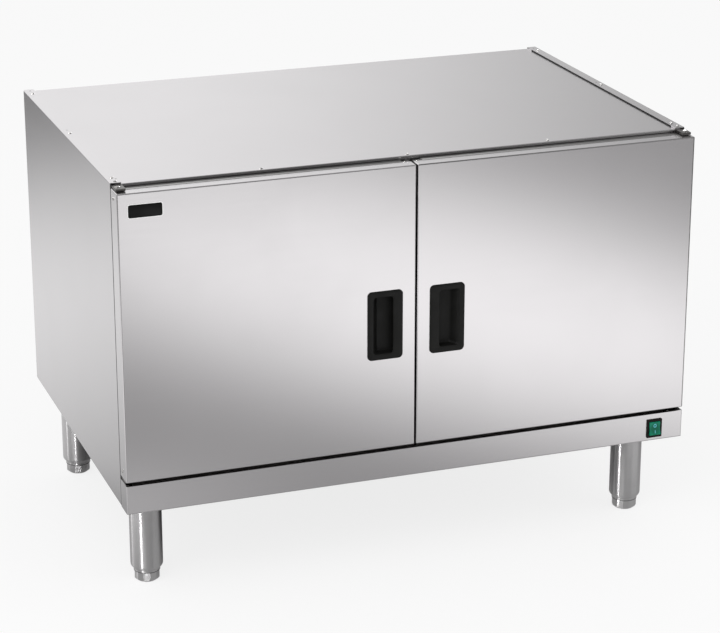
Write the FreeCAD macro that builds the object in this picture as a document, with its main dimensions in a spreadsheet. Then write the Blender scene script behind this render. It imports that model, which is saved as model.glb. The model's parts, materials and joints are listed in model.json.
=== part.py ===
import FreeCAD, Part
import os
import Sketcher

# Plate warmer cabinet: a stainless cupboard on four legs with two hinged doors, a shelf,
# and a tubular element under a slotted floor. Millimetres, +Z up, the doors face -Y.
# The origin is on the floor, under the middle of the body.

SIZES = (
    # Body
    ("overall_width", 900.0),
    ("overall_depth", 600.0),
    ("body_height", 496.0),
    ("leg_height", 150.0),
    ("sheet_gauge", 1.2),
    ("liner_gauge", 0.9),
    ("seat_gap", 0.3),
    ("bend_radius", 2.0),
    ("cut_overrun", 5.0),
    ("side_flange_width", 16.0),
    ("flange_hem_width", 9.0),
    ("top_lip_height", 18.0),
    ("top_bend_radius", 1.6),
    ("top_rail_height", 25.0),
    ("top_rail_depth", 24.0),
    ("plinth_height", 44.6),
    ("plinth_hem_height", 10.0),
    ("under_tray_lap", 20.0),
    ("floor_height", 51.0),
    # Doors
    ("door_split_gap", 3.0),
    ("door_front_gap", 2.0),
    ("door_under_gap", 5.4),
    ("door_return_depth", 33.0),
    ("door_thickness", 30.0),
    ("door_rim_depth", 20.0),
    ("inner_rim_depth", 14.0),
    ("inner_door_gap", 0.15),
    ("door_bend_radius", 1.6),
    # Hinges
    ("hinge_plate_gauge", 3.6),
    ("hinge_plate_reach", 10.0),
    ("hinge_plate_tail", 15.0),
    ("hinge_foot_height", 41.0),
    ("hinge_play", 1.0),
    ("pin_side_inset", 6.2),
    ("pin_front_inset", 21.0),
    ("pin_radius", 3.0),
    ("pin_play", 0.06),
    ("pin_depth", 9.0),
    ("pin_end_gap", 0.4),
    ("pin_head_radius", 4.4),
    ("pin_head_rise", 1.4),
    ("pin_notch_gap", 1.2),
    ("hinge_block_width", 13.0),
    ("hinge_block_depth", 12.0),
    ("hinge_block_height", 19.0),
    # Door handles
    ("handle_width", 55.6),
    ("handle_height", 107.5),
    ("handle_inset", 49.3),
    ("handle_centre_height", 247.0),
    ("handle_corner_radius", 7.0),
    ("handle_edge_radius", 1.0),
    ("handle_proud", 2.2),
    ("handle_border", 3.6),
    ("handle_cup_depth", 15.0),
    ("handle_cup_wall", 2.0),
    ("handle_cup_gap", 0.3),
    ("handle_lip_width", 15.4),
    ("handle_lip_thickness", 2.6),
    ("handle_undercut", 9.0),
    ("handle_far_border", 9.5),
    ("handle_slope_run", 8.7),
    ("handle_recess_height", 88.3),
    # Badge plate and strike plates
    ("badge_width", 50.0),
    ("badge_height", 19.3),
    ("badge_thickness", 0.8),
    ("badge_corner_radius", 2.0),
    ("badge_side_inset", 15.5),
    ("badge_top_inset", 17.2),
    ("strike_width", 40.0),
    ("strike_height", 14.0),
    ("strike_gauge", 1.0),
    ("catch_width", 40.0),
    ("catch_height", 14.0),
    ("catch_depth", 30.0),
    ("catch_gap", 0.5),
    ("catch_inset", 40.0),
    # Fixings
    ("dome_radius", 2.6),
    ("dome_rise", 1.3),
    ("rivet_radius", 1.6),
    ("rivet_play", 0.05),
    ("rivet_grip", 3.8),
    ("door_rivet_grip", 4.0),
    ("block_rivet_grip", 5.0),
    ("flange_rivet_inset", 9.0),
    ("flange_rivet_front", 26.5),
    ("flange_rivet_rear", 29.0),
    ("pilot_hole_radius", 1.3),
    ("pilot_hole_step", 18.5),
    ("front_pilot_step", 7.5),
    ("front_pilot_shift", 4.0),
    ("lip_rivet_pitch", 225.0),
    ("lip_rivet_setback", 7.5),
    ("plate_screw_setback", 7.0),
    ("foot_screw_pitch", 16.0),
    ("rear_screw_pitch", 150.0),
    ("meeting_rivet_inset", 8.3),
    ("nut_clearance", 0.6),
    # Switch
    ("switch_side_inset", 48.2),
    ("switch_centre_height", 20.9),
    ("bezel_width", 25.6),
    ("bezel_height", 30.2),
    ("bezel_proud", 2.0),
    ("bezel_corner_radius", 1.0),
    ("switch_body_width", 21.6),
    ("switch_body_height", 27.0),
    ("switch_body_depth", 24.0),
    ("switch_cutout_gap", 0.3),
    ("rocker_width", 18.0),
    ("rocker_radius", 11.0),
    ("rocker_gap", 0.4),
    ("rocker_pivot_setback", 1.0),
    ("rocker_tip_proud", 4.6),
    ("rocker_dip", 2.2),
    ("rocker_back_depth", 5.0),
    ("rocker_tilt_degrees", 8.0),
    ("rocker_axle_radius", 1.5),
    ("switch_tab_width", 4.8),
    ("switch_tab_gauge", 0.8),
    ("switch_tab_length", 8.0),
    ("switch_tab_pitch", 10.0),
    # Legs and feet
    ("leg_radius", 24.8),
    ("leg_wall", 1.5),
    ("leg_side_inset", 50.0),
    ("leg_front_inset", 91.7),
    ("leg_rear_inset", 65.4),
    ("leg_cap_gauge", 2.0),
    ("leg_neck_radius", 20.2),
    ("leg_shoulder_height", 25.0),
    ("leg_shoulder_radius", 7.0),
    ("foot_height", 16.0),
    ("foot_radius", 19.5),
    ("foot_toe_radius", 14.5),
    ("foot_toe_height", 4.0),
    ("foot_shank_radius", 8.0),
    ("foot_shank_length", 60.0),
    ("sliding_play", 0.1),
    ("foot_insert_height", 18.0),
    ("leg_plate_width", 80.0),
    ("leg_plate_gauge", 3.0),
    ("leg_stud_radius", 6.0),
    ("leg_stud_play", 0.1),
    ("leg_nut_radius", 11.0),
    ("leg_nut_height", 10.0),
    # Lining
    ("ceiling_drop", 28.0),
    ("rear_liner_stand", 16.0),
    ("stiffener_width", 60.0),
    ("stiffener_inset", 260.0),
    ("stiffener_flange", 14.0),
    ("stiffener_end_gap", 25.0),
    ("floor_slot_length", 90.0),
    ("floor_slot_width", 6.0),
    ("floor_slot_pitch", 24.0),
    ("floor_slot_count", 18.0),
    ("floor_slot_setback", 95.0),
    ("floor_slot_row_step", 270.0),
    # Shelf
    ("shelf_height", 262.0),
    ("shelf_side_gap", 3.0),
    ("shelf_front_gap", 14.0),
    ("shelf_rear_gap", 8.0),
    ("shelf_frame_width", 7.0),
    ("shelf_frame_gauge", 6.0),
    ("shelf_rod_radius", 2.0),
    ("shelf_rod_sink", 1.0),
    ("shelf_rod_inset", 26.0),
    ("shelf_rod_count", 33.0),
    ("runner_gauge", 1.5),
    ("runner_width", 20.0),
    ("runner_height", 24.0),
    ("runner_end_gap", 18.0),
    # Heating
    ("element_radius", 4.0),
    ("element_end_gap", 30.0),
    ("element_row_step", 76.0),
    ("element_bend_radius", 34.0),
    ("element_front_setback", 150.0),
    ("element_clearance", 18.0),
    ("element_bracket_width", 16.0),
    ("element_bracket_inset", 70.0),
    ("element_bracket_gauge", 1.2),
    ("element_bracket_foot", 8.0),
    ("reflector_end_gap", 36.0),
    ("reflector_rise", 6.0),
    ("reflector_margin", 40.0),
    # Electrical parts
    ("gland_side_inset", 122.0),
    ("gland_height", 24.0),
    ("gland_bore_radius", 5.0),
    ("gland_thread_radius", 9.0),
    ("gland_thread_length", 14.0),
    ("gland_hex_radius", 13.0),
    ("gland_hex_length", 5.0),
    ("gland_cap_radius", 11.0),
    ("gland_cap_length", 6.0),
    ("gland_nut_length", 5.0),
    ("gland_play", 0.2),
    ("terminal_width", 56.0),
    ("terminal_depth", 22.0),
    ("terminal_height", 20.0),
    ("terminal_setback", 62.0),
    ("terminal_side_inset", 94.0),
    ("terminal_count", 4.0),
    ("terminal_screw_radius", 2.5),
    ("terminal_screw_depth", 3.0),
    ("thermostat_width", 32.0),
    ("thermostat_depth", 36.0),
    ("thermostat_height", 26.0),
    ("thermostat_setback", 240.0),
    ("thermostat_side_inset", 52.0),
    ("bulb_radius", 3.0),
    ("bulb_length", 80.0),
    ("bulb_rise", 22.0),
    ("capillary_radius", 0.9),
    ("capillary_bend_radius", 12.0),
    ("capillary_run", 44.0),
    ("bonding_side_inset", 60.0),
    ("bonding_height", 24.0),
    ("bonding_radius", 3.0),
    ("bonding_length", 24.0),
    ("bonding_nut_radius", 5.8),
    ("bonding_nut_height", 4.0),
    ("loom_radius", 3.2),
    ("loom_bend_radius", 16.0),
    ("loom_rise", 9.0),
    ("loom_side_inset", 24.0),
    ("loom_hole_gap", 1.8),
    ("switch_loom_setback", 50.0),
    ("vent_length", 60.0),
    ("vent_width", 5.0),
    ("vent_pitch", 80.0),
    ("vent_count", 5.0),
    ("vent_height", 24.0),
)

doc = FreeCAD.newDocument("plate_warmer_cabinet")
sheet = doc.addObject("Spreadsheet::Sheet", "Sizes")
for row, (name, millimetres) in enumerate(SIZES, start=1):
    sheet.set("A" + str(row), name)
    sheet.set("B" + str(row), str(millimetres))
    sheet.setAlias("B" + str(row), name)
doc.recompute()


class Size:
    """A size of the sheet, or a sum of them: its value, and the expression that gives it."""

    def __init__(self, value, text):
        self.value = value
        self.text = text

    def __add__(self, other):
        other = as_size(other)
        return Size(self.value + other.value, "(" + self.text + " + " + other.text + ")")

    def __sub__(self, other):
        other = as_size(other)
        return Size(self.value - other.value, "(" + self.text + " - " + other.text + ")")

    def __mul__(self, other):
        other = as_size(other)
        return Size(self.value * other.value, "(" + self.text + " * " + other.text + ")")

    def __truediv__(self, other):
        other = as_size(other)
        return Size(self.value / other.value, "(" + self.text + " / " + other.text + ")")

    def __neg__(self):
        return Size(-self.value, "(0 - " + self.text + ")")

    __rmul__ = __mul__


def as_size(number):
    """A plain number as a Size, so that sizes can be halved, mirrored or compared with zero."""
    if isinstance(number, Size):
        return number
    if number < 0:
        return Size(number, "(0 - " + str(-number) + ")")
    return Size(number, str(number))


def size(name):
    """One driving dimension of the sheet."""
    return Size(float(sheet.get(name)), "Sizes." + name)


ZERO = as_size(0)
NODES = {}


def keep(name, piece):
    """Registers a finished sub-part under its name."""
    piece.Label = name
    NODES[name] = piece
    return piece


# Sketches, pads and cuts of a body, between two heights along the normal of one of its planes

def origin_feature(body, role):
    return next(item for item in body.Origin.OriginFeatures if item.Role == role)


def sketch_on(body, role, offset):
    sketch = body.newObject("Sketcher::SketchObject", "Outline")
    sketch.AttachmentSupport = [(origin_feature(body, role), "")]
    sketch.MapMode = "FlatFace"
    sketch.setExpression("AttachmentOffset.Base.z", offset.text)
    return sketch


def fix_point(sketch, geometry, point, place):
    """Ties a point of the sketch to its two coordinates."""
    for kind, coordinate in zip(("DistanceX", "DistanceY"), place):
        number = sketch.addConstraint(
            Sketcher.Constraint(kind, -1, 1, geometry, point, coordinate.value)
        )
        sketch.setExpression("Constraints[" + str(number) + "]", coordinate.text)


def draw_corners(sketch, corners):
    """A closed outline of straight lines."""
    corners = [(as_size(across), as_size(up)) for across, up in corners]
    points = [FreeCAD.Vector(across.value, up.value, 0) for across, up in corners]
    first = sketch.GeometryCount
    for start, end in zip(points, points[1:] + points[:1]):
        sketch.addGeometry(Part.LineSegment(start, end), False)
    for step in range(len(corners)):
        after = first + (step + 1) % len(corners)
        sketch.addConstraint(Sketcher.Constraint("Coincident", first + step, 2, after, 1))
    for step, corner in enumerate(corners):
        fix_point(sketch, first + step, 1, corner)


def draw_circle(sketch, across, up, radius):
    centre = FreeCAD.Vector(across.value, up.value, 0)
    ring = Part.Circle(centre, FreeCAD.Vector(0, 0, 1), radius.value)
    geometry = sketch.addGeometry(ring, False)
    fix_point(sketch, geometry, 3, (across, up))
    number = sketch.addConstraint(Sketcher.Constraint("Radius", geometry, radius.value))
    sketch.setExpression("Constraints[" + str(number) + "]", radius.text)


def box_corners(low_across, high_across, low_up, high_up):
    return (
        (low_across, low_up),
        (high_across, low_up),
        (high_across, high_up),
        (low_across, high_up),
    )


def extrude(body, kind, sketch, low, high):
    feature = body.newObject("PartDesign::" + kind, kind)
    feature.Profile = sketch
    feature.setExpression("Length", (high - low).text)
    return feature


def add(body, role, low, high, corners):
    """Pads an outline from low to high. The XZ plane faces -Y, so there the pad starts at high."""
    sketch = sketch_on(body, role, -high if role == "XZ_Plane" else low)
    draw_corners(sketch, corners)
    return extrude(body, "Pad", sketch, low, high)


def cut(body, role, low, high, corners):
    """Pockets an outline from low to high."""
    sketch = sketch_on(body, role, -low if role == "XZ_Plane" else high)
    draw_corners(sketch, corners)
    return extrude(body, "Pocket", sketch, low, high)


def add_round(body, role, low, high, places, radius):
    sketch = sketch_on(body, role, -high if role == "XZ_Plane" else low)
    for across, up in places:
        draw_circle(sketch, across, up, radius)
    return extrude(body, "Pad", sketch, low, high)


def cut_round(body, role, low, high, places, radius):
    sketch = sketch_on(body, role, -low if role == "XZ_Plane" else high)
    for across, up in places:
        draw_circle(sketch, across, up, radius)
    return extrude(body, "Pocket", sketch, low, high)


def new_body(name):
    return keep(name, doc.addObject("PartDesign::Body", name))


def edges_in(feature, low, high):
    """Names of the straight edges that lie wholly inside a region, given by two corners."""
    slack = 0.01 * sheet_gauge.value
    region = FreeCAD.BoundBox(
        *[min(a.value, b.value) - slack for a, b in zip(low, high)],
        *[max(a.value, b.value) + slack for a, b in zip(low, high)]
    )
    doc.recompute()
    names = []
    for number, edge in enumerate(feature.Shape.Edges, start=1):
        if region.isInside(edge.BoundBox):
            names.append("Edge" + str(number))
    return names


def fillet(body, feature, names, radius):
    bends = body.newObject("PartDesign::Fillet", "Bends")
    bends.Base = (feature, names)
    bends.setExpression("Radius", radius.text)
    body.Tip = bends
    return bends


def pattern(body, feature, role, length, count):
    rows = body.newObject("PartDesign::LinearPattern", "Row")
    rows.Originals = [feature]
    rows.Direction = (origin_feature(body, role), [""])
    rows.setExpression("Length", length.text)
    rows.setExpression("Occurrences", count.text)
    body.Tip = rows
    return rows


# Primitives and booleans

def place(piece, across, back, up):
    for axis, coordinate in zip("xyz", (across, back, up)):
        piece.setExpression("Placement.Base." + axis, as_size(coordinate).text)
    return piece


def block(low, high):
    """A box between two opposite corners."""
    piece = doc.addObject("Part::Box", "Block")
    for side, start, end in zip(("Length", "Width", "Height"), low, high):
        piece.setExpression(side, (end - start).text)
    return place(piece, *low)


def rod(radius, length, across, back, up, turn=None):
    """A cylinder that stands on a point; turn lays it along another axis."""
    piece = doc.addObject("Part::Cylinder", "Rod")
    piece.setExpression("Radius", radius.text)
    piece.setExpression("Height", length.text)
    if turn:
        piece.Placement = FreeCAD.Placement(FreeCAD.Vector(0, 0, 0), turn)
    return place(piece, across, back, up)


def prism(sides, radius, length, across, back, up, turn=None):
    piece = doc.addObject("Part::Prism", "Prism")
    piece.Polygon = sides
    piece.setExpression("Circumradius", radius.text)
    piece.setExpression("Height", length.text)
    if turn:
        piece.Placement = FreeCAD.Placement(FreeCAD.Vector(0, 0, 0), turn)
    return place(piece, across, back, up)


def fuse(*pieces):
    whole = doc.addObject("Part::MultiFuse", "Fused")
    whole.Shapes = list(pieces)
    return whole


def take_from(base, tool):
    whole = doc.addObject("Part::Cut", "Cut")
    whole.Base = base
    whole.Tool = tool
    return whole


def group(name, pieces):
    """Several separate solids that make one sub-part."""
    whole = doc.addObject("Part::Compound", name)
    whole.Links = list(pieces)
    return keep(name, whole)


X_AXIS = FreeCAD.Vector(1, 0, 0)
Y_AXIS = FreeCAD.Vector(0, 1, 0)
UPWARD = FreeCAD.Rotation()
FORWARD = FreeCAD.Rotation(X_AXIS, 90)
REARWARD = FreeCAD.Rotation(X_AXIS, -90)
RIGHTWARD = FreeCAD.Rotation(Y_AXIS, 90)
LEFTWARD = FreeCAD.Rotation(Y_AXIS, -90)
DOWNWARD = FreeCAD.Rotation(X_AXIS, 180)


def dome_fixing(turn, across, back, up, shank, grip, head, rise):
    """A dome-headed rivet or screw: the head stands on the point, the shank goes the other way."""
    dome = doc.addObject("Part::Ellipsoid", "Dome")
    dome.setExpression("Radius1", rise.text)
    dome.setExpression("Radius2", head.text)
    dome.setExpression("Radius3", head.text)
    dome.Angle1 = 0
    whole = fuse(dome, rod(shank, grip, ZERO, ZERO, -grip))
    whole.Placement = FreeCAD.Placement(FreeCAD.Vector(0, 0, 0), turn)
    return place(whole, across, back, up)


def rounded_path(points, radius):
    """A wire of straight runs joined by tangent arcs of one radius."""
    edges = []
    start = points[0]
    for before, corner, after in zip(points, points[1:], points[2:]):
        arriving = (corner - before).normalize()
        leaving = (after - corner).normalize()
        half_turn = arriving.getAngle(leaving) / 2
        setback = radius * half_turn_tangent(half_turn)
        arc_start = corner - arriving * setback
        arc_end = corner + leaving * setback
        bisector = (leaving - arriving).normalize()
        reach = (radius ** 2 + setback ** 2) ** 0.5 - radius
        edges.append(Part.LineSegment(start, arc_start).toShape())
        edges.append(Part.Arc(arc_start, corner + bisector * reach, arc_end).toShape())
        start = arc_end
    edges.append(Part.LineSegment(start, points[-1]).toShape())
    return Part.Wire(edges)


def half_turn_tangent(half_turn):
    """The tangent of an angle, from the slope of a unit vector turned by it."""
    slope = FreeCAD.Rotation(FreeCAD.Vector(0, 0, 1), FreeCAD.Units.Quantity(half_turn, "rad"))
    turned = slope.multVec(X_AXIS)
    return turned.y / turned.x


def tube_shape(points, bend_radius, radius):
    """A round bar swept along a rounded path through points of sizes."""
    vectors = [FreeCAD.Vector(*[as_size(part).value for part in point]) for point in points]
    path = rounded_path(vectors, bend_radius.value)
    heading = vectors[1] - vectors[0]
    section = Part.Wire([Part.Circle(vectors[0], heading, radius.value).toShape()])
    return path.makePipeShell([section], True, False)


def swept_piece(name, shape):
    piece = doc.addObject("Part::Feature", name)
    piece.Shape = shape
    return keep(name, piece)


# Driving dimensions

overall_width = size("overall_width")
overall_depth = size("overall_depth")
body_height = size("body_height")
leg_height = size("leg_height")
sheet_gauge = size("sheet_gauge")
liner_gauge = size("liner_gauge")
seat_gap = size("seat_gap")
bend_radius = size("bend_radius")
overrun = size("cut_overrun")
side_flange_width = size("side_flange_width")

# Planes of the body that several pieces share

half_width = overall_width / 2
front = -overall_depth / 2
rear = overall_depth / 2
base = leg_height
crown = leg_height + body_height
body_front = front + size("door_return_depth") + size("door_front_gap")
wall_inside = half_width - sheet_gauge
flange_end = half_width - side_flange_width
tuck_end = wall_inside - seat_gap
flange_bottom = crown - sheet_gauge
top_surface = crown - 2 * sheet_gauge
top_underside = top_surface - sheet_gauge
tray_bottom = base + sheet_gauge
tray_top = tray_bottom + sheet_gauge
floor_top = base + size("floor_height")
ceiling_height = crown - size("ceiling_drop")
rear_panel_front = rear - 2 * sheet_gauge
rear_liner_face = rear - size("rear_liner_stand")
door_bottom = base + size("plinth_height") + size("door_under_gap")
hinge_plate_top = top_surface
hinge_plate_bottom = top_surface - size("hinge_plate_gauge")
door_top = hinge_plate_bottom - size("hinge_play")
foot_plate_top = door_bottom - size("hinge_play")
door_back = front + size("door_thickness")
pin_line = front + size("pin_front_inset")
pin_across = half_width - size("pin_side_inset")
pin_bore = size("pin_radius") + size("pin_play")
rivet_hole = size("rivet_radius") + size("rivet_play")
rivet_line = half_width - size("flange_rivet_inset")
first_rivet = body_front + size("flange_rivet_front")
last_rivet = rear - size("flange_rivet_rear")
middle_rivet = (first_rivet + last_rivet) / 2
flange_rivet_rows = (first_rivet, middle_rivet, last_rivet)
plate_screw_line = body_front + size("plate_screw_setback")
lip_rivet_line = body_front + size("lip_rivet_setback")
lip_rivets_across = (-size("lip_rivet_pitch"), ZERO, size("lip_rivet_pitch"))
foot_screw_low = foot_plate_top - size("hinge_foot_height") + size("foot_screw_pitch") / 2
foot_screw_heights = (foot_screw_low, foot_screw_low + size("foot_screw_pitch"))
plate_middle = (flange_end + tuck_end) / 2
rear_screw_middle = base + body_height / 2
rear_screw_heights = (
    rear_screw_middle - size("rear_screw_pitch"),
    rear_screw_middle,
    rear_screw_middle + size("rear_screw_pitch"),
)
switch_across = half_width - size("switch_side_inset")
switch_height = base + size("switch_centre_height")
leg_places = {
    "front_left": (-1, front + size("leg_front_inset")),
    "front_right": (1, front + size("leg_front_inset")),
    "rear_left": (-1, rear - size("leg_rear_inset")),
    "rear_right": (1, rear - size("leg_rear_inset")),
}
leg_across = half_width - size("leg_side_inset")
SIDES = {"left": -1, "right": 1}


# Outer panels

def side_panel(name, side):
    """A folded pan, open towards the inside, whose top flange is hemmed under."""
    body = new_body(name)
    outline = box_corners(body_front, rear, base, crown)
    pan = add(body, "YZ_Plane", *ordered(side, flange_end, half_width), outline)
    outer = side * half_width
    bends = []
    for low, high in (
        ((outer, body_front, base), (outer, rear, base)),
        ((outer, body_front, crown), (outer, rear, crown)),
        ((outer, body_front, base), (outer, body_front, crown)),
        ((outer, rear, base), (outer, rear, crown)),
    ):
        bends += edges_in(pan, low, high)
    fillet(body, pan, bends, bend_radius)
    hollow = box_corners(
        body_front + sheet_gauge,
        rear - sheet_gauge,
        base + sheet_gauge,
        crown - sheet_gauge,
    )
    cut(body, "YZ_Plane", *ordered(side, flange_end - overrun, wall_inside), hollow)
    hem_end = flange_end + size("flange_hem_width")
    hem = box_corners(body_front + sheet_gauge, rear - sheet_gauge, top_surface, flange_bottom)
    add(body, "YZ_Plane", *ordered(side, flange_end, hem_end), hem)
    notch = box_corners(
        *ordered(side, flange_end - overrun, wall_inside),
        hinge_plate_bottom - seat_gap,
        flange_bottom
    )
    cut(body, "XZ_Plane", body_front - overrun, body_front + sheet_gauge, notch)
    rivets = [(side * rivet_line, row) for row in flange_rivet_rows]
    rivets.append((side * plate_middle, plate_screw_line))
    cut_round(body, "XY_Plane", top_surface - overrun, crown + overrun, rivets, rivet_hole)
    pilots = [(side * rivet_line, row + size("pilot_hole_step")) for row in flange_rivet_rows[1:]]
    front_pilot = rivet_line - size("front_pilot_shift")
    pilots.append((side * front_pilot, first_rivet - size("front_pilot_step")))
    pilot_radius = size("pilot_hole_radius")
    cut_round(body, "XY_Plane", top_surface, crown + overrun, pilots, pilot_radius)
    foot_screws = [(side * plate_middle, height) for height in foot_screw_heights]
    front_run = (body_front - overrun, body_front + sheet_gauge)
    cut_round(body, "XZ_Plane", *front_run, foot_screws, rivet_hole)
    rear_screws = [(side * rivet_line, height) for height in rear_screw_heights]
    rear_run = (rear - sheet_gauge, rear + overrun)
    cut_round(body, "XZ_Plane", *rear_run, rear_screws, rivet_hole)


def ordered(side, inner, outer):
    """Two places across the width, counted from the middle, on one side of it, lowest first."""
    if side > 0:
        return inner, outer
    return -outer, -inner


def top_panel():
    """The top: a sheet under the side flanges, with a rounded front lip and a rear lip."""
    body = new_body("top_panel")
    lip_end = flange_end - seat_gap
    lip_bottom = top_surface - size("top_lip_height")
    profile = (
        (body_front, top_surface),
        (body_front, lip_bottom),
        (body_front + sheet_gauge, lip_bottom),
        (body_front + sheet_gauge, top_underside),
        (rear - sheet_gauge, top_underside),
        (rear - sheet_gauge, lip_bottom),
        (rear, lip_bottom),
        (rear, top_surface),
    )
    sheet_pad = add(body, "YZ_Plane", -lip_end, lip_end, profile)
    bends = edges_in(
        sheet_pad,
        (-lip_end, body_front, top_surface),
        (lip_end, body_front, top_surface),
    )
    bends += edges_in(sheet_pad, (-lip_end, rear, top_surface), (lip_end, rear, top_surface))
    fillet(body, sheet_pad, bends, size("top_bend_radius"))
    wing_front = body_front + size("hinge_plate_tail") + seat_gap
    for side in SIDES.values():
        wing = box_corners(
            *ordered(side, lip_end - overrun, tuck_end),
            wing_front,
            rear - sheet_gauge - seat_gap
        )
        add(body, "XY_Plane", top_underside, top_surface, wing)
    rivets = [(across, lip_rivet_line) for across in lip_rivets_across]
    for side in SIDES.values():
        rivets += [(side * rivet_line, row) for row in flange_rivet_rows]
    cut_round(body, "XY_Plane", top_underside, top_surface + overrun, rivets, rivet_hole)


def vent_row(body, low, high):
    """The row of air slots that goes through the back sheet and the floor's flange behind it."""
    row_length = size("vent_pitch") * (size("vent_count") - 1)
    vent_start = -row_length / 2 - size("vent_length") / 2
    vent_low = base + size("vent_height")
    slot = box_corners(
        vent_start,
        vent_start + size("vent_length"),
        vent_low,
        vent_low + size("vent_width"),
    )
    vent = cut(body, "XZ_Plane", low, high, slot)
    pattern(body, vent, "X_Axis", row_length, size("vent_count"))


def rear_panel():
    """The back sheet, inside the rear flanges, with a row of vents and the two cable holes."""
    body = new_body("rear_panel")
    low = tray_top + seat_gap
    sheet_face = box_corners(-tuck_end, tuck_end, low, top_underside - seat_gap)
    add(body, "XZ_Plane", rear_panel_front, rear - sheet_gauge, sheet_face)
    through = (rear_panel_front - overrun, rear + overrun)
    gland = [(gland_across, gland_height)]
    gland_hole = size("gland_thread_radius") + size("gland_play")
    cut_round(body, "XZ_Plane", *through, gland, gland_hole)
    bonding = [(-bonding_across, bonding_height)]
    bonding_hole = size("bonding_radius") + size("rivet_play")
    cut_round(body, "XZ_Plane", *through, bonding, bonding_hole)
    screws = []
    for side in SIDES.values():
        screws += [(side * rivet_line, height) for height in rear_screw_heights]
    cut_round(body, "XZ_Plane", *through, screws, rivet_hole)
    vent_row(body, *through)


def under_tray():
    """The bottom sheet, on the bottom flanges of the sides and of the plinth."""
    body = new_body("under_tray")
    tray_front = body_front - size("under_tray_lap")
    shoulder = body_front + sheet_gauge + seat_gap
    tongue_end = flange_end - seat_gap
    sheet_face = (
        (-tongue_end, tray_front),
        (tongue_end, tray_front),
        (tongue_end, shoulder),
        (tuck_end, shoulder),
        (tuck_end, rear_panel_front),
        (-tuck_end, rear_panel_front),
        (-tuck_end, shoulder),
        (-tongue_end, shoulder),
    )
    add(body, "XY_Plane", tray_bottom, tray_top, sheet_face)
    studs = [(side * leg_across, back) for side, back in leg_places.values()]
    hole = size("leg_stud_radius") + size("leg_stud_play")
    cut_round(body, "XY_Plane", tray_bottom - overrun, tray_top + overrun, studs, hole)


def plinth_panel():
    """The front fascia under the doors: two side returns, a bottom return and a hemmed top."""
    body = new_body("plinth_panel")
    plinth_top = base + size("plinth_height")
    plinth_back = body_front - seat_gap
    face = box_corners(-half_width, half_width, base, plinth_top)
    pan = add(body, "XZ_Plane", front, plinth_back, face)
    bends = edges_in(pan, (-half_width, front, base), (-half_width, front, plinth_top))
    bends += edges_in(pan, (half_width, front, base), (half_width, front, plinth_top))
    bends += edges_in(pan, (-half_width, front, base), (half_width, front, base))
    fillet(body, pan, bends, bend_radius)
    hollow = box_corners(-wall_inside, wall_inside, tray_bottom, plinth_top + overrun)
    cut(body, "XZ_Plane", front + sheet_gauge, plinth_back + overrun, hollow)
    hem = box_corners(
        -wall_inside,
        wall_inside,
        plinth_top - size("plinth_hem_height"),
        plinth_top,
    )
    add(body, "XZ_Plane", front + sheet_gauge, front + 2 * sheet_gauge, hem)
    half_hole = size("switch_body_width") / 2 + size("switch_cutout_gap")
    half_rise = size("switch_body_height") / 2 + size("switch_cutout_gap")
    hole = box_corners(
        switch_across - half_hole,
        switch_across + half_hole,
        switch_height - half_rise,
        switch_height + half_rise,
    )
    cut(body, "XZ_Plane", front - overrun, front + 2 * sheet_gauge + overrun, hole)


# Inner frame and lining

def front_top_rail():
    """A channel behind the front lip of the top. It carries the lip rivets and the catches."""
    body = new_body("front_top_rail")
    web_front = body_front + sheet_gauge
    rail_back = web_front + size("top_rail_depth")
    rail_bottom = top_underside - size("top_rail_height")
    profile = (
        (web_front, top_underside),
        (web_front, rail_bottom),
        (rail_back, rail_bottom),
        (rail_back, rail_bottom + sheet_gauge),
        (web_front + sheet_gauge, rail_bottom + sheet_gauge),
        (web_front + sheet_gauge, top_underside - sheet_gauge),
        (rail_back, top_underside - sheet_gauge),
        (rail_back, top_underside),
    )
    rail_end = flange_end - liner_gauge - seat_gap
    add(body, "YZ_Plane", -rail_end, rail_end, profile)
    rivets = [(across, lip_rivet_line) for across in lip_rivets_across]
    cut_round(body, "XY_Plane", top_underside - overrun, top_underside, rivets, rivet_hole)


def lining_pan(name, role, face, open_side, outline, inset_outline):
    """A flat lining sheet with a flange all round that stands off to the outer panel."""
    body = new_body(name)
    low, high = sorted((face, open_side), key=lambda place: place.value)
    pan = add(body, role, low, high, outline)
    if face.value < open_side.value:
        low, high = face + liner_gauge, open_side + overrun
    else:
        low, high = open_side - overrun, face - liner_gauge
    cut(body, role, low, high, inset_outline)
    return body


def inset_box(low_across, high_across, low_up, high_up, wall):
    """An outline of a flange's inside, one wall in from each edge."""
    return box_corners(low_across + wall, high_across - wall, low_up + wall, high_up - wall)


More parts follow.
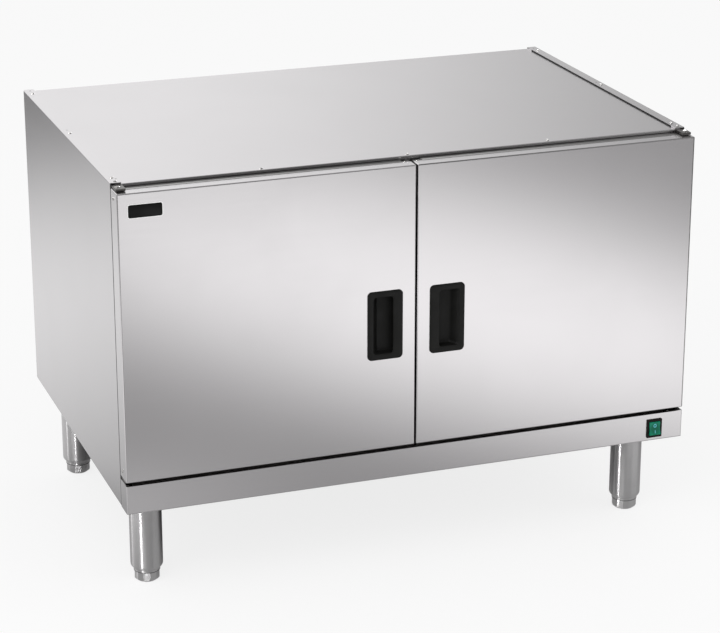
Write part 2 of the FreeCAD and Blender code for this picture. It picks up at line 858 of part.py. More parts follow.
def inner_lining():
    liner_front = body_front + sheet_gauge
    liner_bottom = floor_top + seat_gap / 2
    liner_top = top_underside - seat_gap
    for word, side in SIDES.items():
        edges = (liner_front, rear_liner_face - seat_gap, liner_bottom, liner_top)
        liner = lining_pan(
            word + "_inner_liner",
            "YZ_Plane",
            side * (flange_end - liner_gauge),
            side * tuck_end,
            box_corners(*edges),
            inset_box(*edges, liner_gauge),
        )
        notch = box_corners(
            liner_front - overrun,
            body_front + size("hinge_plate_tail") + seat_gap,
            hinge_plate_bottom - seat_gap,
            liner_top + overrun,
        )
        notch_end = flange_end - liner_gauge - overrun
        cut(liner, "YZ_Plane", *ordered(side, notch_end, half_width), notch)
    edges = (-tuck_end, tuck_end, liner_bottom, ceiling_height - seat_gap)
    lining_pan(
        "rear_inner_liner",
        "XZ_Plane",
        rear_liner_face,
        rear_panel_front - seat_gap,
        box_corners(*edges),
        inset_box(*edges, liner_gauge),
    )
    ceiling_end = flange_end - liner_gauge - seat_gap
    ceiling_front = body_front + sheet_gauge + size("top_rail_depth") + seat_gap
    edges = (-ceiling_end, ceiling_end, ceiling_front, rear_liner_face - seat_gap)
    lining_pan(
        "ceiling_liner",
        "XY_Plane",
        ceiling_height,
        liner_top,
        box_corners(*edges),
        inset_box(*edges, liner_gauge),
    )


def top_stiffeners():
    """Two hat channels that hold up the top, on the ceiling lining."""
    body = new_body("top_stiffeners")
    low = ceiling_height + liner_gauge
    high = top_underside
    start = size("stiffener_inset") / -2 - size("stiffener_width") / 2
    end = start + size("stiffener_width")
    foot = size("stiffener_flange")
    profile = (
        (start - foot, low),
        (start + liner_gauge, low),
        (start + liner_gauge, high - liner_gauge),
        (end - liner_gauge, high - liner_gauge),
        (end - liner_gauge, low),
        (end + foot, low),
        (end + foot, low + liner_gauge),
        (end, low + liner_gauge),
        (end, high),
        (start, high),
        (start, low + liner_gauge),
        (start - foot, low + liner_gauge),
    )
    run_front = body_front + sheet_gauge + size("top_rail_depth") + size("stiffener_end_gap")
    run_back = rear_liner_face - size("stiffener_end_gap")
    hat = add(body, "XZ_Plane", run_front, run_back, profile)
    pattern(body, hat, "X_Axis", size("stiffener_inset"), as_size(2))


def chamber_floor():
    """The warm floor: an upturned tray on the under tray, with two rows of slots."""
    body = new_body("chamber_floor")
    floor_front = body_front + sheet_gauge + seat_gap
    floor_back = rear_panel_front - seat_gap
    edges = (-tuck_end, tuck_end, floor_front, floor_back)
    pan = add(body, "XY_Plane", tray_top, floor_top, box_corners(*edges))
    bends = edges_in(
        pan,
        (-tuck_end, floor_front, floor_top),
        (tuck_end, floor_front, floor_top),
    )
    fillet(body, pan, bends, bend_radius)
    hollow = inset_box(*edges, sheet_gauge)
    cut(body, "XY_Plane", tray_top - overrun, floor_top - sheet_gauge, hollow)
    row_length = size("floor_slot_pitch") * (size("floor_slot_count") - 1)
    row_start = -row_length / 2 - size("floor_slot_width") / 2
    for row in range(2):
        slot_front = floor_front + size("floor_slot_setback") + row * size("floor_slot_row_step")
        slot = box_corners(
            row_start,
            row_start + size("floor_slot_width"),
            slot_front,
            slot_front + size("floor_slot_length"),
        )
        opened = cut(body, "XY_Plane", floor_top - sheet_gauge - overrun, floor_top, slot)
        pattern(body, opened, "X_Axis", row_length, size("floor_slot_count"))
    behind = (floor_back - sheet_gauge - overrun, floor_back + overrun)
    vent_row(body, *behind)
    nut_hole = size("gland_hex_radius") + size("nut_clearance")
    cut_round(body, "XZ_Plane", *behind, [(gland_across, gland_height)], nut_hole)
    bonding_hole = size("bonding_nut_radius") + size("nut_clearance")
    cut_round(body, "XZ_Plane", *behind, [(-bonding_across, bonding_height)], bonding_hole)
    before = (floor_front - overrun, floor_front + sheet_gauge + overrun)
    screws = []
    for side in SIDES.values():
        screws += [(side * plate_middle, height) for height in foot_screw_heights]
    cut_round(body, "XZ_Plane", *before, screws, rivet_hole)
    loom_hole = size("loom_radius") + size("loom_hole_gap")
    cut_round(body, "XZ_Plane", *before, [(switch_across, switch_height)], loom_hole)


def shelf_and_runners():
    """A welded rod shelf with a flat frame, lifted out by hand, on two angle runners."""
    liner_face = flange_end - liner_gauge
    shelf_low = base + size("shelf_height")
    shelf_end = liner_face - size("shelf_side_gap")
    shelf_front = body_front + size("shelf_front_gap")
    shelf_back = rear_liner_face - size("shelf_rear_gap")
    frame_top = shelf_low + size("shelf_frame_gauge")
    edges = (-shelf_end, shelf_end, shelf_front, shelf_back)
    body = new_body("shelf")
    add(body, "XY_Plane", shelf_low, frame_top, box_corners(*edges))
    inside = inset_box(*edges, size("shelf_frame_width"))
    cut(body, "XY_Plane", shelf_low - overrun, frame_top + overrun, inside)
    rod_height = frame_top + size("shelf_rod_radius") - size("shelf_rod_sink")
    rod_start = -shelf_end + size("shelf_rod_inset")
    half_frame = size("shelf_frame_width") / 2
    first_rod = add_round(
        body,
        "XZ_Plane",
        shelf_front + half_frame,
        shelf_back - half_frame,
        [(rod_start, rod_height)],
        size("shelf_rod_radius"),
    )
    pattern(body, first_rod, "X_Axis", -2 * rod_start, size("shelf_rod_count"))
    runner_top = shelf_low
    gauge = size("runner_gauge")
    runners = new_body("shelf_runners")
    for side in SIDES.values():
        profile = (
            (side * liner_face, runner_top - gauge),
            (side * liner_face, runner_top + size("runner_height")),
            (side * (liner_face - gauge), runner_top + size("runner_height")),
            (side * (liner_face - gauge), runner_top),
            (side * (liner_face - size("runner_width")), runner_top),
            (side * (liner_face - size("runner_width")), runner_top - gauge),
        )
        run_front = body_front + size("runner_end_gap")
        add(runners, "XZ_Plane", run_front, rear_liner_face - size("runner_end_gap"), profile)


# Doors

def door_outer_skin(name, side):
    """A folded pan with a deep return on the hinge side, cut out for the handle."""
    body = new_body(name)
    inner_edge = size("door_split_gap") / 2
    return_back = front + size("door_return_depth")
    face = box_corners(*ordered(side, inner_edge, half_width), door_bottom, door_top)
    pan = add(body, "XZ_Plane", front, return_back, face)
    hinge_side = side * half_width
    free_side = side * inner_edge
    bends = []
    for low, high in (
        ((hinge_side, front, door_bottom), (hinge_side, front, door_top)),
        ((free_side, front, door_bottom), (free_side, front, door_top)),
        ((hinge_side, front, door_bottom), (free_side, front, door_bottom)),
        ((hinge_side, front, door_top), (free_side, front, door_top)),
        ((hinge_side, front, door_top), (hinge_side, return_back, door_top)),
        ((free_side, front, door_top), (free_side, return_back, door_top)),
        ((hinge_side, front, door_bottom), (hinge_side, return_back, door_bottom)),
        ((free_side, front, door_bottom), (free_side, return_back, door_bottom)),
    ):
        bends += edges_in(pan, low, high)
    fillet(body, pan, bends, size("door_bend_radius"))
    hollow = box_corners(
        *ordered(side, inner_edge + sheet_gauge, wall_inside),
        door_bottom + sheet_gauge,
        door_top - sheet_gauge
    )
    cut(body, "XZ_Plane", front + sheet_gauge, return_back + overrun, hollow)
    trimmed = box_corners(
        *ordered(side, ZERO, wall_inside),
        door_bottom - overrun,
        door_top + overrun
    )
    rim_back = front + size("door_rim_depth")
    cut(body, "XZ_Plane", rim_back, return_back + overrun, trimmed)
    notch_radius = size("pin_radius") + size("pin_notch_gap")
    pin_place = [(side * pin_across, pin_line)]
    through = (door_bottom - overrun, door_top + overrun)
    cut_round(body, "XY_Plane", *through, pin_place, notch_radius)
    half_cup = cup_half_width + size("handle_cup_gap")
    half_rise = cup_half_height + size("handle_cup_gap")
    handle_across = side * size("handle_inset")
    hole = box_corners(
        handle_across - half_cup,
        handle_across + half_cup,
        handle_height - half_rise,
        handle_height + half_rise,
    )
    cut(body, "XZ_Plane", front - overrun, front + sheet_gauge + overrun, hole)
    rivets = [(rivet_back, height) for height in hinge_rivet_heights]
    rivet_run = ordered(side, wall_inside - overrun, half_width + overrun)
    cut_round(body, "YZ_Plane", *rivet_run, rivets, rivet_hole)


def door_inner_panel(name, side):
    """The inner pan, whose flanges tuck inside the rim of the outer skin."""
    body = new_body(name)
    tuck = sheet_gauge + size("inner_door_gap")
    free_edge = size("door_split_gap") / 2 + tuck
    hinge_edge = half_width - tuck
    low = door_bottom + tuck
    high = door_top - tuck
    rim_front = door_back - size("inner_rim_depth")
    edges = (*ordered(side, free_edge, hinge_edge), low, high)
    add(body, "XZ_Plane", rim_front, door_back, box_corners(*edges))
    hollow = inset_box(*edges, liner_gauge)
    cut(body, "XZ_Plane", rim_front - overrun, door_back - liner_gauge, hollow)
    notch_radius = size("pin_radius") + size("pin_notch_gap")
    pin_place = [(side * pin_across, pin_line)]
    cut_round(body, "XY_Plane", low - overrun, high + overrun, pin_place, notch_radius)
    meeting = [(side * meeting_rivet_across, meeting_rivet_line)]
    cut_round(body, "XY_Plane", low - overrun, high + overrun, meeting, rivet_hole)
    rivets = [(rivet_back, height) for height in hinge_rivet_heights]
    rivet_run = ordered(side, hinge_edge - liner_gauge - overrun, hinge_edge + overrun)
    cut_round(body, "YZ_Plane", *rivet_run, rivets, rivet_hole)


def door_hinge_blocks(name, side):
    """A bored block in each hinge corner of the door, riveted to the deep return."""
    pieces = []
    block_front = pin_line - size("hinge_block_depth") / 2
    near, far = ordered(side, block_side - size("hinge_block_width"), block_side)
    upper_bore_end = door_top - size("pin_depth") - size("pin_end_gap")
    lower_bore_end = door_bottom + size("pin_depth") + size("pin_end_gap")
    bores = (
        (upper_bore_end, door_top),
        (door_bottom, lower_bore_end),
    )
    turn, rivet_start = rivet_approach(side, block_side + overrun)
    rivet_run = overrun + size("block_rivet_grip") + size("pin_end_gap")
    for height, (bore_low, bore_high) in zip(hinge_rivet_heights, bores):
        low = height - size("hinge_block_height") / 2
        high = low + size("hinge_block_height")
        body_block = block(
            (near, block_front, low),
            (far, block_front + size("hinge_block_depth"), high),
        )
        bore = rod(pin_bore, bore_high - bore_low, side * pin_across, pin_line, bore_low)
        rivet = rod(rivet_hole, rivet_run, rivet_start, rivet_back, height, turn)
        pieces.append(take_from(body_block, fuse(bore, rivet)))
    group(name, pieces)


def rivet_approach(side, across):
    """The turn and the place of a hole drilled inward from one side of the cabinet."""
    if side > 0:
        return LEFTWARD, across
    return RIGHTWARD, -across


def door_rivets(name, side):
    """Dome rivets: two into the hinge blocks and two near the meeting edge."""
    turn = RIGHTWARD if side > 0 else LEFTWARD
    dome = (size("dome_radius"), size("dome_rise"))
    grip = half_width - block_side + size("block_rivet_grip")
    pieces = []
    for height in hinge_rivet_heights:
        place_at = (side * half_width, rivet_back, height)
        pieces.append(dome_fixing(turn, *place_at, size("rivet_radius"), grip, *dome))
    tuck = sheet_gauge + size("inner_door_gap")
    for turn, height in ((UPWARD, door_top - tuck), (DOWNWARD, door_bottom + tuck)):
        place_at = (side * meeting_rivet_across, meeting_rivet_line, height)
        grip = size("door_rivet_grip")
        pieces.append(dome_fixing(turn, *place_at, size("rivet_radius"), grip, *dome))
    group(name, pieces)


def door_handle(name, side):
    """A moulded flush pull: a rounded bezel, and a cup that runs under the lip by the free edge."""
    body = new_body(name)
    middle = side * size("handle_inset")
    half_wide = size("handle_width") / 2
    half_tall = size("handle_height") / 2
    bezel_front = front - size("handle_proud")
    face = box_corners(
        middle - half_wide,
        middle + half_wide,
        handle_height - half_tall,
        handle_height + half_tall,
    )
    bezel = add(body, "XZ_Plane", bezel_front, front, face)
    corners = []
    for across in (middle - half_wide, middle + half_wide):
        for up in (handle_height - half_tall, handle_height + half_tall):
            corners += edges_in(bezel, (across, bezel_front, up), (across, front, up))
    rounded = fillet(body, bezel, corners, size("handle_corner_radius"))
    rim = edges_in(
        rounded,
        (middle - half_wide, bezel_front, handle_height - half_tall),
        (middle + half_wide, bezel_front, handle_height + half_tall),
    )
    fillet(body, rounded, rim, size("handle_edge_radius"))
    cup = box_corners(
        middle - cup_half_width,
        middle + cup_half_width,
        handle_height - cup_half_height,
        handle_height + cup_half_height,
    )
    cup_back = front + size("handle_cup_depth")
    add(body, "XZ_Plane", front - size("handle_edge_radius"), cup_back, cup)
    free_edge = size("handle_inset") - half_wide
    far_edge = size("handle_inset") + half_wide
    mouth = free_edge + size("handle_lip_width")
    lip_back = bezel_front + size("handle_lip_thickness")
    floor_line = cup_back - size("handle_cup_wall")
    slope_top = far_edge - size("handle_far_border")
    recess = (
        (side * mouth, bezel_front - overrun),
        (side * mouth, lip_back),
        (side * (mouth - size("handle_undercut")), lip_back),
        (side * (mouth - size("handle_undercut")), floor_line),
        (side * (slope_top - size("handle_slope_run")), floor_line),
        (side * slope_top, bezel_front),
        (side * slope_top, bezel_front - overrun),
    )
    half_recess = size("handle_recess_height") / 2
    low, high = handle_height - half_recess, handle_height + half_recess
    cut(body, "XY_Plane", low, high, recess)


def badge_plate():
    """A blank rounded name plate near the top hinge corner of the left door."""
    body = new_body("badge_plate")
    start = -half_width + size("badge_side_inset")
    end = start + size("badge_width")
    high = door_top - size("badge_top_inset")
    low = high - size("badge_height")
    plate_front = front - size("badge_thickness")
    plate = add(body, "XZ_Plane", plate_front, front, box_corners(start, end, low, high))
    corners = []
    for across in (start, end):
        for up in (low, high):
            corners += edges_in(plate, (across, plate_front, up), (across, front, up))
    fillet(body, plate, corners, size("badge_corner_radius"))


def catches_and_strikes():
    """Magnetic catches under the top rail, and their strike plates on the doors."""
    rail_bottom = top_underside - size("top_rail_height")
    catch_middle = rail_bottom - size("catch_height") / 2
    half_wide = size("catch_width") / 2
    catch_front = door_back + size("strike_gauge") + size("catch_gap")
    catches = new_body("magnetic_catches")
    for word, side in SIDES.items():
        middle = side * size("catch_inset")
        face = box_corners(
            middle - half_wide,
            middle + half_wide,
            rail_bottom - size("catch_height"),
            rail_bottom,
        )
        add(catches, "XZ_Plane", catch_front, catch_front + size("catch_depth"), face)
        strike = new_body(word + "_door_strike_plate")
        half_strike = size("strike_width") / 2
        half_rise = size("strike_height") / 2
        face = box_corners(
            middle - half_strike,
            middle + half_strike,
            catch_middle - half_rise,
            catch_middle + half_rise,
        )
        add(strike, "XZ_Plane", door_back, door_back + size("strike_gauge"), face)


# Hinges

def hinge_brackets_and_pins():
    """A flat plate under each top flange, an angle bracket under each door, and their pins."""
    pins = []
    for word, side in SIDES.items():
        near, far = ordered(side, flange_end, tuck_end)
        plate_front = pin_line - size("hinge_plate_reach")
        plate_back = body_front + size("hinge_plate_tail")
        pin_place = [(side * pin_across, pin_line)]
        screw_place = [(side * plate_middle, plate_screw_line)]
        body = new_body(word + "_top_hinge_plate")
        outline = box_corners(near, far, plate_front, plate_back)
        add(body, "XY_Plane", hinge_plate_bottom, hinge_plate_top, outline)
        holes = (hinge_plate_bottom - overrun, hinge_plate_top + overrun)
        cut_round(body, "XY_Plane", *holes, pin_place, size("pin_radius"))
        cut_round(body, "XY_Plane", *holes, screw_place, rivet_hole)
        bracket = new_body(word + "_bottom_hinge_bracket")
        foot_bottom = foot_plate_top - size("hinge_plate_gauge")
        outline = box_corners(near, far, plate_front, body_front)
        add(bracket, "XY_Plane", foot_bottom, foot_plate_top, outline)
        leg_front = body_front - size("hinge_plate_gauge")
        leg_low = foot_plate_top - size("hinge_foot_height")
        upright = box_corners(near, far, leg_low, foot_plate_top)
        add(bracket, "XZ_Plane", leg_front, body_front, upright)
        holes = (foot_bottom - overrun, foot_plate_top + overrun)
        cut_round(bracket, "XY_Plane", *holes, pin_place, size("pin_radius"))
        screws = [(side * plate_middle, height) for height in foot_screw_heights]
        front_run = (leg_front - overrun, body_front)
        cut_round(bracket, "XZ_Plane", *front_run, screws, rivet_hole)
        pin_head = (size("pin_head_radius"), size("pin_head_rise"))
        grip = size("hinge_plate_gauge") + size("hinge_play") + size("pin_depth")
        spot = (side * pin_across, pin_line)
        pins.append(
            dome_fixing(UPWARD, *spot, hinge_plate_top, size("pin_radius"), grip, *pin_head)
        )
        pins.append(
            dome_fixing(DOWNWARD, *spot, foot_bottom, size("pin_radius"), grip, *pin_head)
        )
    group("hinge_pins", pins)


def cabinet_screws():
    """Screws that hold the hinge plates, the brackets and the back sheet to the side panels."""
    dome = (size("dome_radius"), size("dome_rise"))
    shank = size("rivet_radius")
    plate_grip = crown - hinge_plate_bottom
    bracket_grip = size("hinge_plate_gauge") + size("rivet_grip")
    bracket_face = body_front - size("hinge_plate_gauge")
    pieces = []
    for side in SIDES.values():
        middle = side * plate_middle
        spot = (middle, plate_screw_line, crown)
        pieces.append(dome_fixing(UPWARD, *spot, shank, plate_grip, *dome))
        for height in foot_screw_heights:
            spot = (middle, bracket_face, height)
            pieces.append(dome_fixing(FORWARD, *spot, shank, bracket_grip, *dome))
        for height in rear_screw_heights:
            spot = (side * rivet_line, rear, height)
            pieces.append(dome_fixing(REARWARD, *spot, shank, size("rivet_grip"), *dome))
    group("cabinet_screws", pieces)


def top_rivets():
    """Dome rivets along the side flanges and along the front lip of the top."""
    fixing = (size("rivet_radius"), size("rivet_grip"), size("dome_radius"), size("dome_rise"))
    pieces = []
    for side in SIDES.values():
        for row in flange_rivet_rows:
            pieces.append(dome_fixing(UPWARD, side * rivet_line, row, crown, *fixing))
    for across in lip_rivets_across:
        pieces.append(dome_fixing(UPWARD, across, lip_rivet_line, top_surface, *fixing))
    group("top_rivets", pieces)


# Legs and feet

def leg_tube(name, side, back):
    """A swaged tube with a closed top, turned about its own axis."""
    body = new_body(name)
    wall = size("leg_wall")
    outside = size("leg_radius")
    neck = size("leg_neck_radius")
    shoulder = size("leg_shoulder_height")
    step = outside - neck
    opening = size("foot_height") + size("sliding_play")
    cap = tray_bottom - size("leg_cap_gauge")
    stud_hole = size("leg_stud_radius") + size("leg_stud_play")
    profile = (
        (neck - wall, opening),
        (neck, opening),
        (neck, shoulder - step),
        (outside, shoulder),
        (outside, tray_bottom),
        (stud_hole, tray_bottom),
        (stud_hole, cap),
        (outside - wall, cap),
        (outside - wall, shoulder + wall / 2),
        (neck - wall, shoulder - step + wall / 2),
    )
    sketch = sketch_on(body, "XZ_Plane", ZERO)
    draw_corners(sketch, profile)
    turned = body.newObject("PartDesign::Revolution", "Turned")
    turned.Profile = sketch
    turned.ReferenceAxis = (origin_feature(body, "Z_Axis"), [""])
    doc.recompute()
    ring = []
    for number, edge in enumerate(turned.Shape.Edges, start=1):
        box = edge.BoundBox
        at_shoulder = abs(box.ZMax - shoulder.value) + abs(box.ZMin - shoulder.value)
        if at_shoulder < overrun.value / 100 and box.XLength > outside.value:
            ring.append("Edge" + str(number))
    fillet(body, turned, ring, size("leg_shoulder_radius"))
    place(body, side * leg_across, back, ZERO)


def levelling_foot(name, side, back):
    """A twelve-sided foot with a narrowed toe, on a threaded shank."""
    height = size("foot_height")
    sides = prism(12, size("foot_radius"), height, ZERO, ZERO, ZERO)
    toe = doc.addObject("Part::Cone", "Toe")
    rise_share = size("foot_radius") - size("foot_toe_radius")
    steepness = height / size("foot_toe_height")
    toe.setExpression("Radius1", size("foot_toe_radius").text)
    toe.setExpression("Radius2", (size("foot_toe_radius") + rise_share * steepness).text)
    toe.setExpression("Height", height.text)
    shaped = doc.addObject("Part::MultiCommon", "Skirt")
    shaped.Shapes = [sides, toe]
    shank = rod(size("foot_shank_radius"), size("foot_shank_length"), ZERO, ZERO, height)
    foot = fuse(shaped, shank)
    place(foot, side * leg_across, back, ZERO)
    keep(name, foot)


def leg_inserts():
    """The threaded insert in the mouth of each leg."""
    pieces = []
    low = size("foot_height") + size("sliding_play")
    radius = size("leg_neck_radius") - size("leg_wall") - size("sliding_play")
    bore = size("foot_shank_radius") + size("sliding_play")
    for side, back in leg_places.values():
        spot = (side * leg_across, back)
        insert = rod(radius, size("foot_insert_height"), *spot, low)
        hole = rod(bore, size("foot_insert_height") + 2 * overrun, *spot, low - overrun)
        pieces.append(take_from(insert, hole))
    group("leg_foot_inserts", pieces)


def leg_mountings():
    """A stiffening plate over each leg, and the stud and nut that hold the leg to the tray."""
    plates = []
    studs = []
    half = size("leg_plate_width") / 2
    plate_top = tray_top + size("leg_plate_gauge")
    stud_low = tray_bottom - size("leg_cap_gauge") - size("leg_nut_height")
    stud_high = plate_top + size("leg_nut_height")
    for side, back in leg_places.values():
        across = side * leg_across
        plate = block(
            (across - half, back - half, tray_top),
            (across + half, back + half, plate_top),
        )
        hole_radius = size("leg_stud_radius") + size("leg_stud_play")
        hole_length = size("leg_plate_gauge") + 2 * overrun
        hole = rod(hole_radius, hole_length, across, back, tray_top - overrun)
        plates.append(take_from(plate, hole))
        stud = rod(size("leg_stud_radius"), stud_high - stud_low, across, back, stud_low)
        nut_size = (size("leg_nut_radius"), size("leg_nut_height"))
        upper_nut = prism(6, *nut_size, across, back, plate_top)
        lower_nut = prism(6, *nut_size, across, back, stud_low)
        studs.append(fuse(stud, upper_nut, lower_nut))
    group("leg_stiffening_plates", plates)
    group("leg_studs", studs)


# Switch

def switch_housing():
    """A snap-in switch body: bezel, box behind the plinth, an open well for the rocker, tabs."""
    body = new_body("switch_housing")
    half_bezel = size("bezel_width") / 2
    half_rise = size("bezel_height") / 2
    bezel_front = front - size("bezel_proud")
    face = box_corners(
        switch_across - half_bezel,
        switch_across + half_bezel,
        switch_height - half_rise,
        switch_height + half_rise,
    )
    bezel = add(body, "XZ_Plane", bezel_front, front, face)
    corners = []
    for across in (switch_across - half_bezel, switch_across + half_bezel):
        for up in (switch_height - half_rise, switch_height + half_rise):
            corners += edges_in(bezel, (across, bezel_front, up), (across, front, up))
    fillet(body, bezel, corners, size("bezel_corner_radius"))
    half_body = size("switch_body_width") / 2
    half_body_rise = size("switch_body_height") / 2
    body_back = front + size("switch_body_depth")
    box = box_corners(
        switch_across - half_body,
        switch_across + half_body,
        switch_height - half_body_rise,
        switch_height + half_body_rise,
    )
    add(body, "XZ_Plane", front, body_back, box)
    half_well = size("rocker_width") / 2 + size("rocker_gap")
    half_well_rise = size("rocker_radius") + size("rocker_gap")
    well = box_corners(
        switch_across - half_well,
        switch_across + half_well,
        switch_height - half_well_rise,
        switch_height + half_well_rise,
    )
    well_back = rocker_pivot_line + size("rocker_radius") + size("rocker_gap")
    cut(body, "XZ_Plane", bezel_front - overrun, well_back, well)
    axle = [(rocker_pivot_line, switch_height)]
    axle_run = (switch_across - half_well, switch_across + half_well)
    add_round(body, "YZ_Plane", *axle_run, axle, size("rocker_axle_radius"))
    tab_half = size("switch_tab_width") / 2
    tab_low = switch_height - size("switch_tab_pitch") / 2
    tab = box_corners(
        switch_across - tab_half,
        switch_across + tab_half,
        tab_low - size("switch_tab_gauge") / 2,
        tab_low + size("switch_tab_gauge") / 2,
    )
    tab_run = (body_back - overrun, body_back + size("switch_tab_length"))
    tab_pad = add(body, "XZ_Plane", *tab_run, tab)
    pattern(body, tab_pad, "Z_Axis", size("switch_tab_pitch"), as_size(2))


def switch_rocker():
    """The rocker: a slice of a cylinder about the axle, with a shallow dip across its face."""
    body = new_body("switch_rocker")
    half_wide = size("rocker_width") / 2
    radius = size("rocker_radius")
    add_round(body, "YZ_Plane", -half_wide, half_wide, [(ZERO, ZERO)], radius)
    tip = -size("rocker_tip_proud")
    dip = tip + size("rocker_dip")
    far = radius + overrun
    face = ((tip, -far), (tip, -radius), (dip, ZERO), (tip, radius), (tip, far), (-far, far), (-far, -far))
    cut(body, "YZ_Plane", -half_wide - overrun, half_wide + overrun, face)
    back = box_corners(size("rocker_back_depth"), far, -far, far)
    cut(body, "YZ_Plane", -half_wide - overrun, half_wide + overrun, back)
    bore = size("rocker_axle_radius") + size("sliding_play")
    through = (-half_wide - overrun, half_wide + overrun)
    cut_round(body, "YZ_Plane", *through, [(ZERO, ZERO)], bore)
    tilt = FreeCAD.Rotation(X_AXIS, -size("rocker_tilt_degrees").value)
    body.Placement = FreeCAD.Placement(FreeCAD.Vector(0, 0, 0), tilt)
    place(body, switch_across, rocker_pivot_line, switch_height)


# Heating and wiring

def heating():
    """A serpentine tubular element on three hat brackets over a reflector tray."""
    reflector_top = tray_top + size("reflector_rise")
    rows = 4
    first_row = front + size("element_front_setback")
    last_row = first_row + (rows - 1) * size("element_row_step")
    element_height = reflector_top + size("element_clearance") + size("element_radius")
    half_reflector = thermostat_start - size("reflector_end_gap")
    half_span = half_reflector - size("element_end_gap")
    bracket_pitch = half_span - size("element_bracket_inset")
    points = []
    for row in range(rows):
        back = first_row + row * size("element_row_step")
        ends = (half_span, -half_span) if row % 2 == 0 else (-half_span, half_span)
        points += [(end, back, element_height) for end in ends]
    shape = tube_shape(points, size("element_bend_radius"), size("element_radius"))
    swept_piece("heating_element", shape)
    body = new_body("element_brackets")
    half_wide = size("element_bracket_width") / 2
    gauge = size("element_bracket_gauge")
    foot = size("element_bracket_foot")
    high = element_height - size("element_radius")
    start = -bracket_pitch
    profile = (
        (start - half_wide - foot, reflector_top),
        (start - half_wide + gauge, reflector_top),
        (start - half_wide + gauge, high - gauge),
        (start + half_wide - gauge, high - gauge),
        (start + half_wide - gauge, reflector_top),
        (start + half_wide + foot, reflector_top),
        (start + half_wide + foot, reflector_top + gauge),
        (start + half_wide, reflector_top + gauge),
        (start + half_wide, high),
        (start - half_wide, high),
        (start - half_wide, reflector_top + gauge),
        (start - half_wide - foot, reflector_top + gauge),
    )
    margin = size("element_radius") * 2
    hat = add(body, "XZ_Plane", first_row - margin, last_row + margin, profile)
    pattern(body, hat, "X_Axis", 2 * bracket_pitch, as_size(3))
    tray = new_body("heat_reflector")
    edges = (
        -half_reflector,
        half_reflector,
        first_row - size("reflector_margin"),
        last_row + size("reflector_margin"),
    )
    add(tray, "XY_Plane", tray_top, reflector_top, box_corners(*edges))
    hollow = inset_box(*edges, liner_gauge)
    cut(tray, "XY_Plane", tray_top - overrun, reflector_top - liner_gauge, hollow)


def thermostat():
    """The thermostat body, and its capillary and bulb by the element."""
    start = thermostat_start
    end = start + size("thermostat_width")
    near = front + size("thermostat_setback")
    far = near + size("thermostat_depth")
    high = tray_top + size("thermostat_height")
    case = block((start, near, tray_top), (end, far, high))
    stem_radius = size("terminal_screw_radius")
    stem = rod(stem_radius * 2, stem_radius * 2, (start + end) / 2, (near + far) / 2, high)
    keep("thermostat_body", fuse(case, stem))
    middle = (near + far) / 2
    bulb_height = tray_top + size("bulb_rise")
    out = start - size("capillary_run")
    bulb_end = out - size("bulb_length")
    low = tray_top + size("thermostat_height") / 3
    points = (
        (start, middle, low),
        ((start + out) / 2, middle, low),
        ((start + out) / 2, middle, bulb_height),
        (out, middle, bulb_height),
    )
    thin = tube_shape(points, size("capillary_bend_radius") / 4, size("capillary_radius"))
    bulb = Part.makeCylinder(
        size("bulb_radius").value,
        size("bulb_length").value,
        FreeCAD.Vector(bulb_end.value, middle.value, bulb_height.value),
        X_AXIS,
    )
    swept_piece("thermostat_bulb", thin.fuse(bulb).removeSplitter())


def cable_gland():
    """A gland through the back sheet, its cap and its locknut. The cable goes through its bore."""
    outside = rear - sheet_gauge
    bore = size("gland_bore_radius")
    spot = (gland_across, outside, gland_height)
    hexagon = prism(6, size("gland_hex_radius"), size("gland_hex_length"), *spot, REARWARD)
    cap_start = outside + size("gland_hex_length")
    cap_spot = (gland_across, cap_start, gland_height)
    cap = rod(size("gland_cap_radius"), size("gland_cap_length"), *cap_spot, REARWARD)
    thread_start = outside - size("gland_thread_length")
    thread_spot = (gland_across, thread_start, gland_height)
    thread = rod(size("gland_thread_radius"), size("gland_thread_length"), *thread_spot, REARWARD)
    length = size("gland_thread_length") + size("gland_hex_length") + size("gland_cap_length")
    hole_spot = (gland_across, thread_start - overrun, gland_height)
    hole = rod(bore, length + 2 * overrun, *hole_spot, REARWARD)
    keep("cable_gland", take_from(fuse(hexagon, cap, thread), hole))
    nut_start = rear_panel_front - size("gland_nut_length")
    nut_spot = (gland_across, nut_start, gland_height)
    nut = prism(6, size("gland_hex_radius"), size("gland_nut_length"), *nut_spot, REARWARD)
    nut_hole_spot = (gland_across, nut_start - overrun, gland_height)
    nut_hole_length = size("gland_nut_length") + 2 * overrun
    nut_bore = size("gland_thread_radius") + size("sliding_play")
    nut_hole = rod(nut_bore, nut_hole_length, *nut_hole_spot, REARWARD)
    keep("gland_locknut", take_from(nut, nut_hole))


def bonding_stud():
    """The earth bonding stud through the back sheet, with a nut on each face."""
    stud_start = rear - sheet_gauge - size("bonding_length") / 2
    spot = (-bonding_across, stud_start, bonding_height)
    stud = rod(size("bonding_radius"), size("bonding_length"), *spot, REARWARD)
    nut_size = (size("bonding_nut_radius"), size("bonding_nut_height"))
    outer_spot = (-bonding_across, rear - sheet_gauge, bonding_height)
    inner_start = rear_panel_front - size("bonding_nut_height")
    inner_spot = (-bonding_across, inner_start, bonding_height)
    outer_nut = prism(6, *nut_size, *outer_spot, REARWARD)
    inner_nut = prism(6, *nut_size, *inner_spot, REARWARD)
    keep("bonding_stud", fuse(stud, outer_nut, inner_nut))


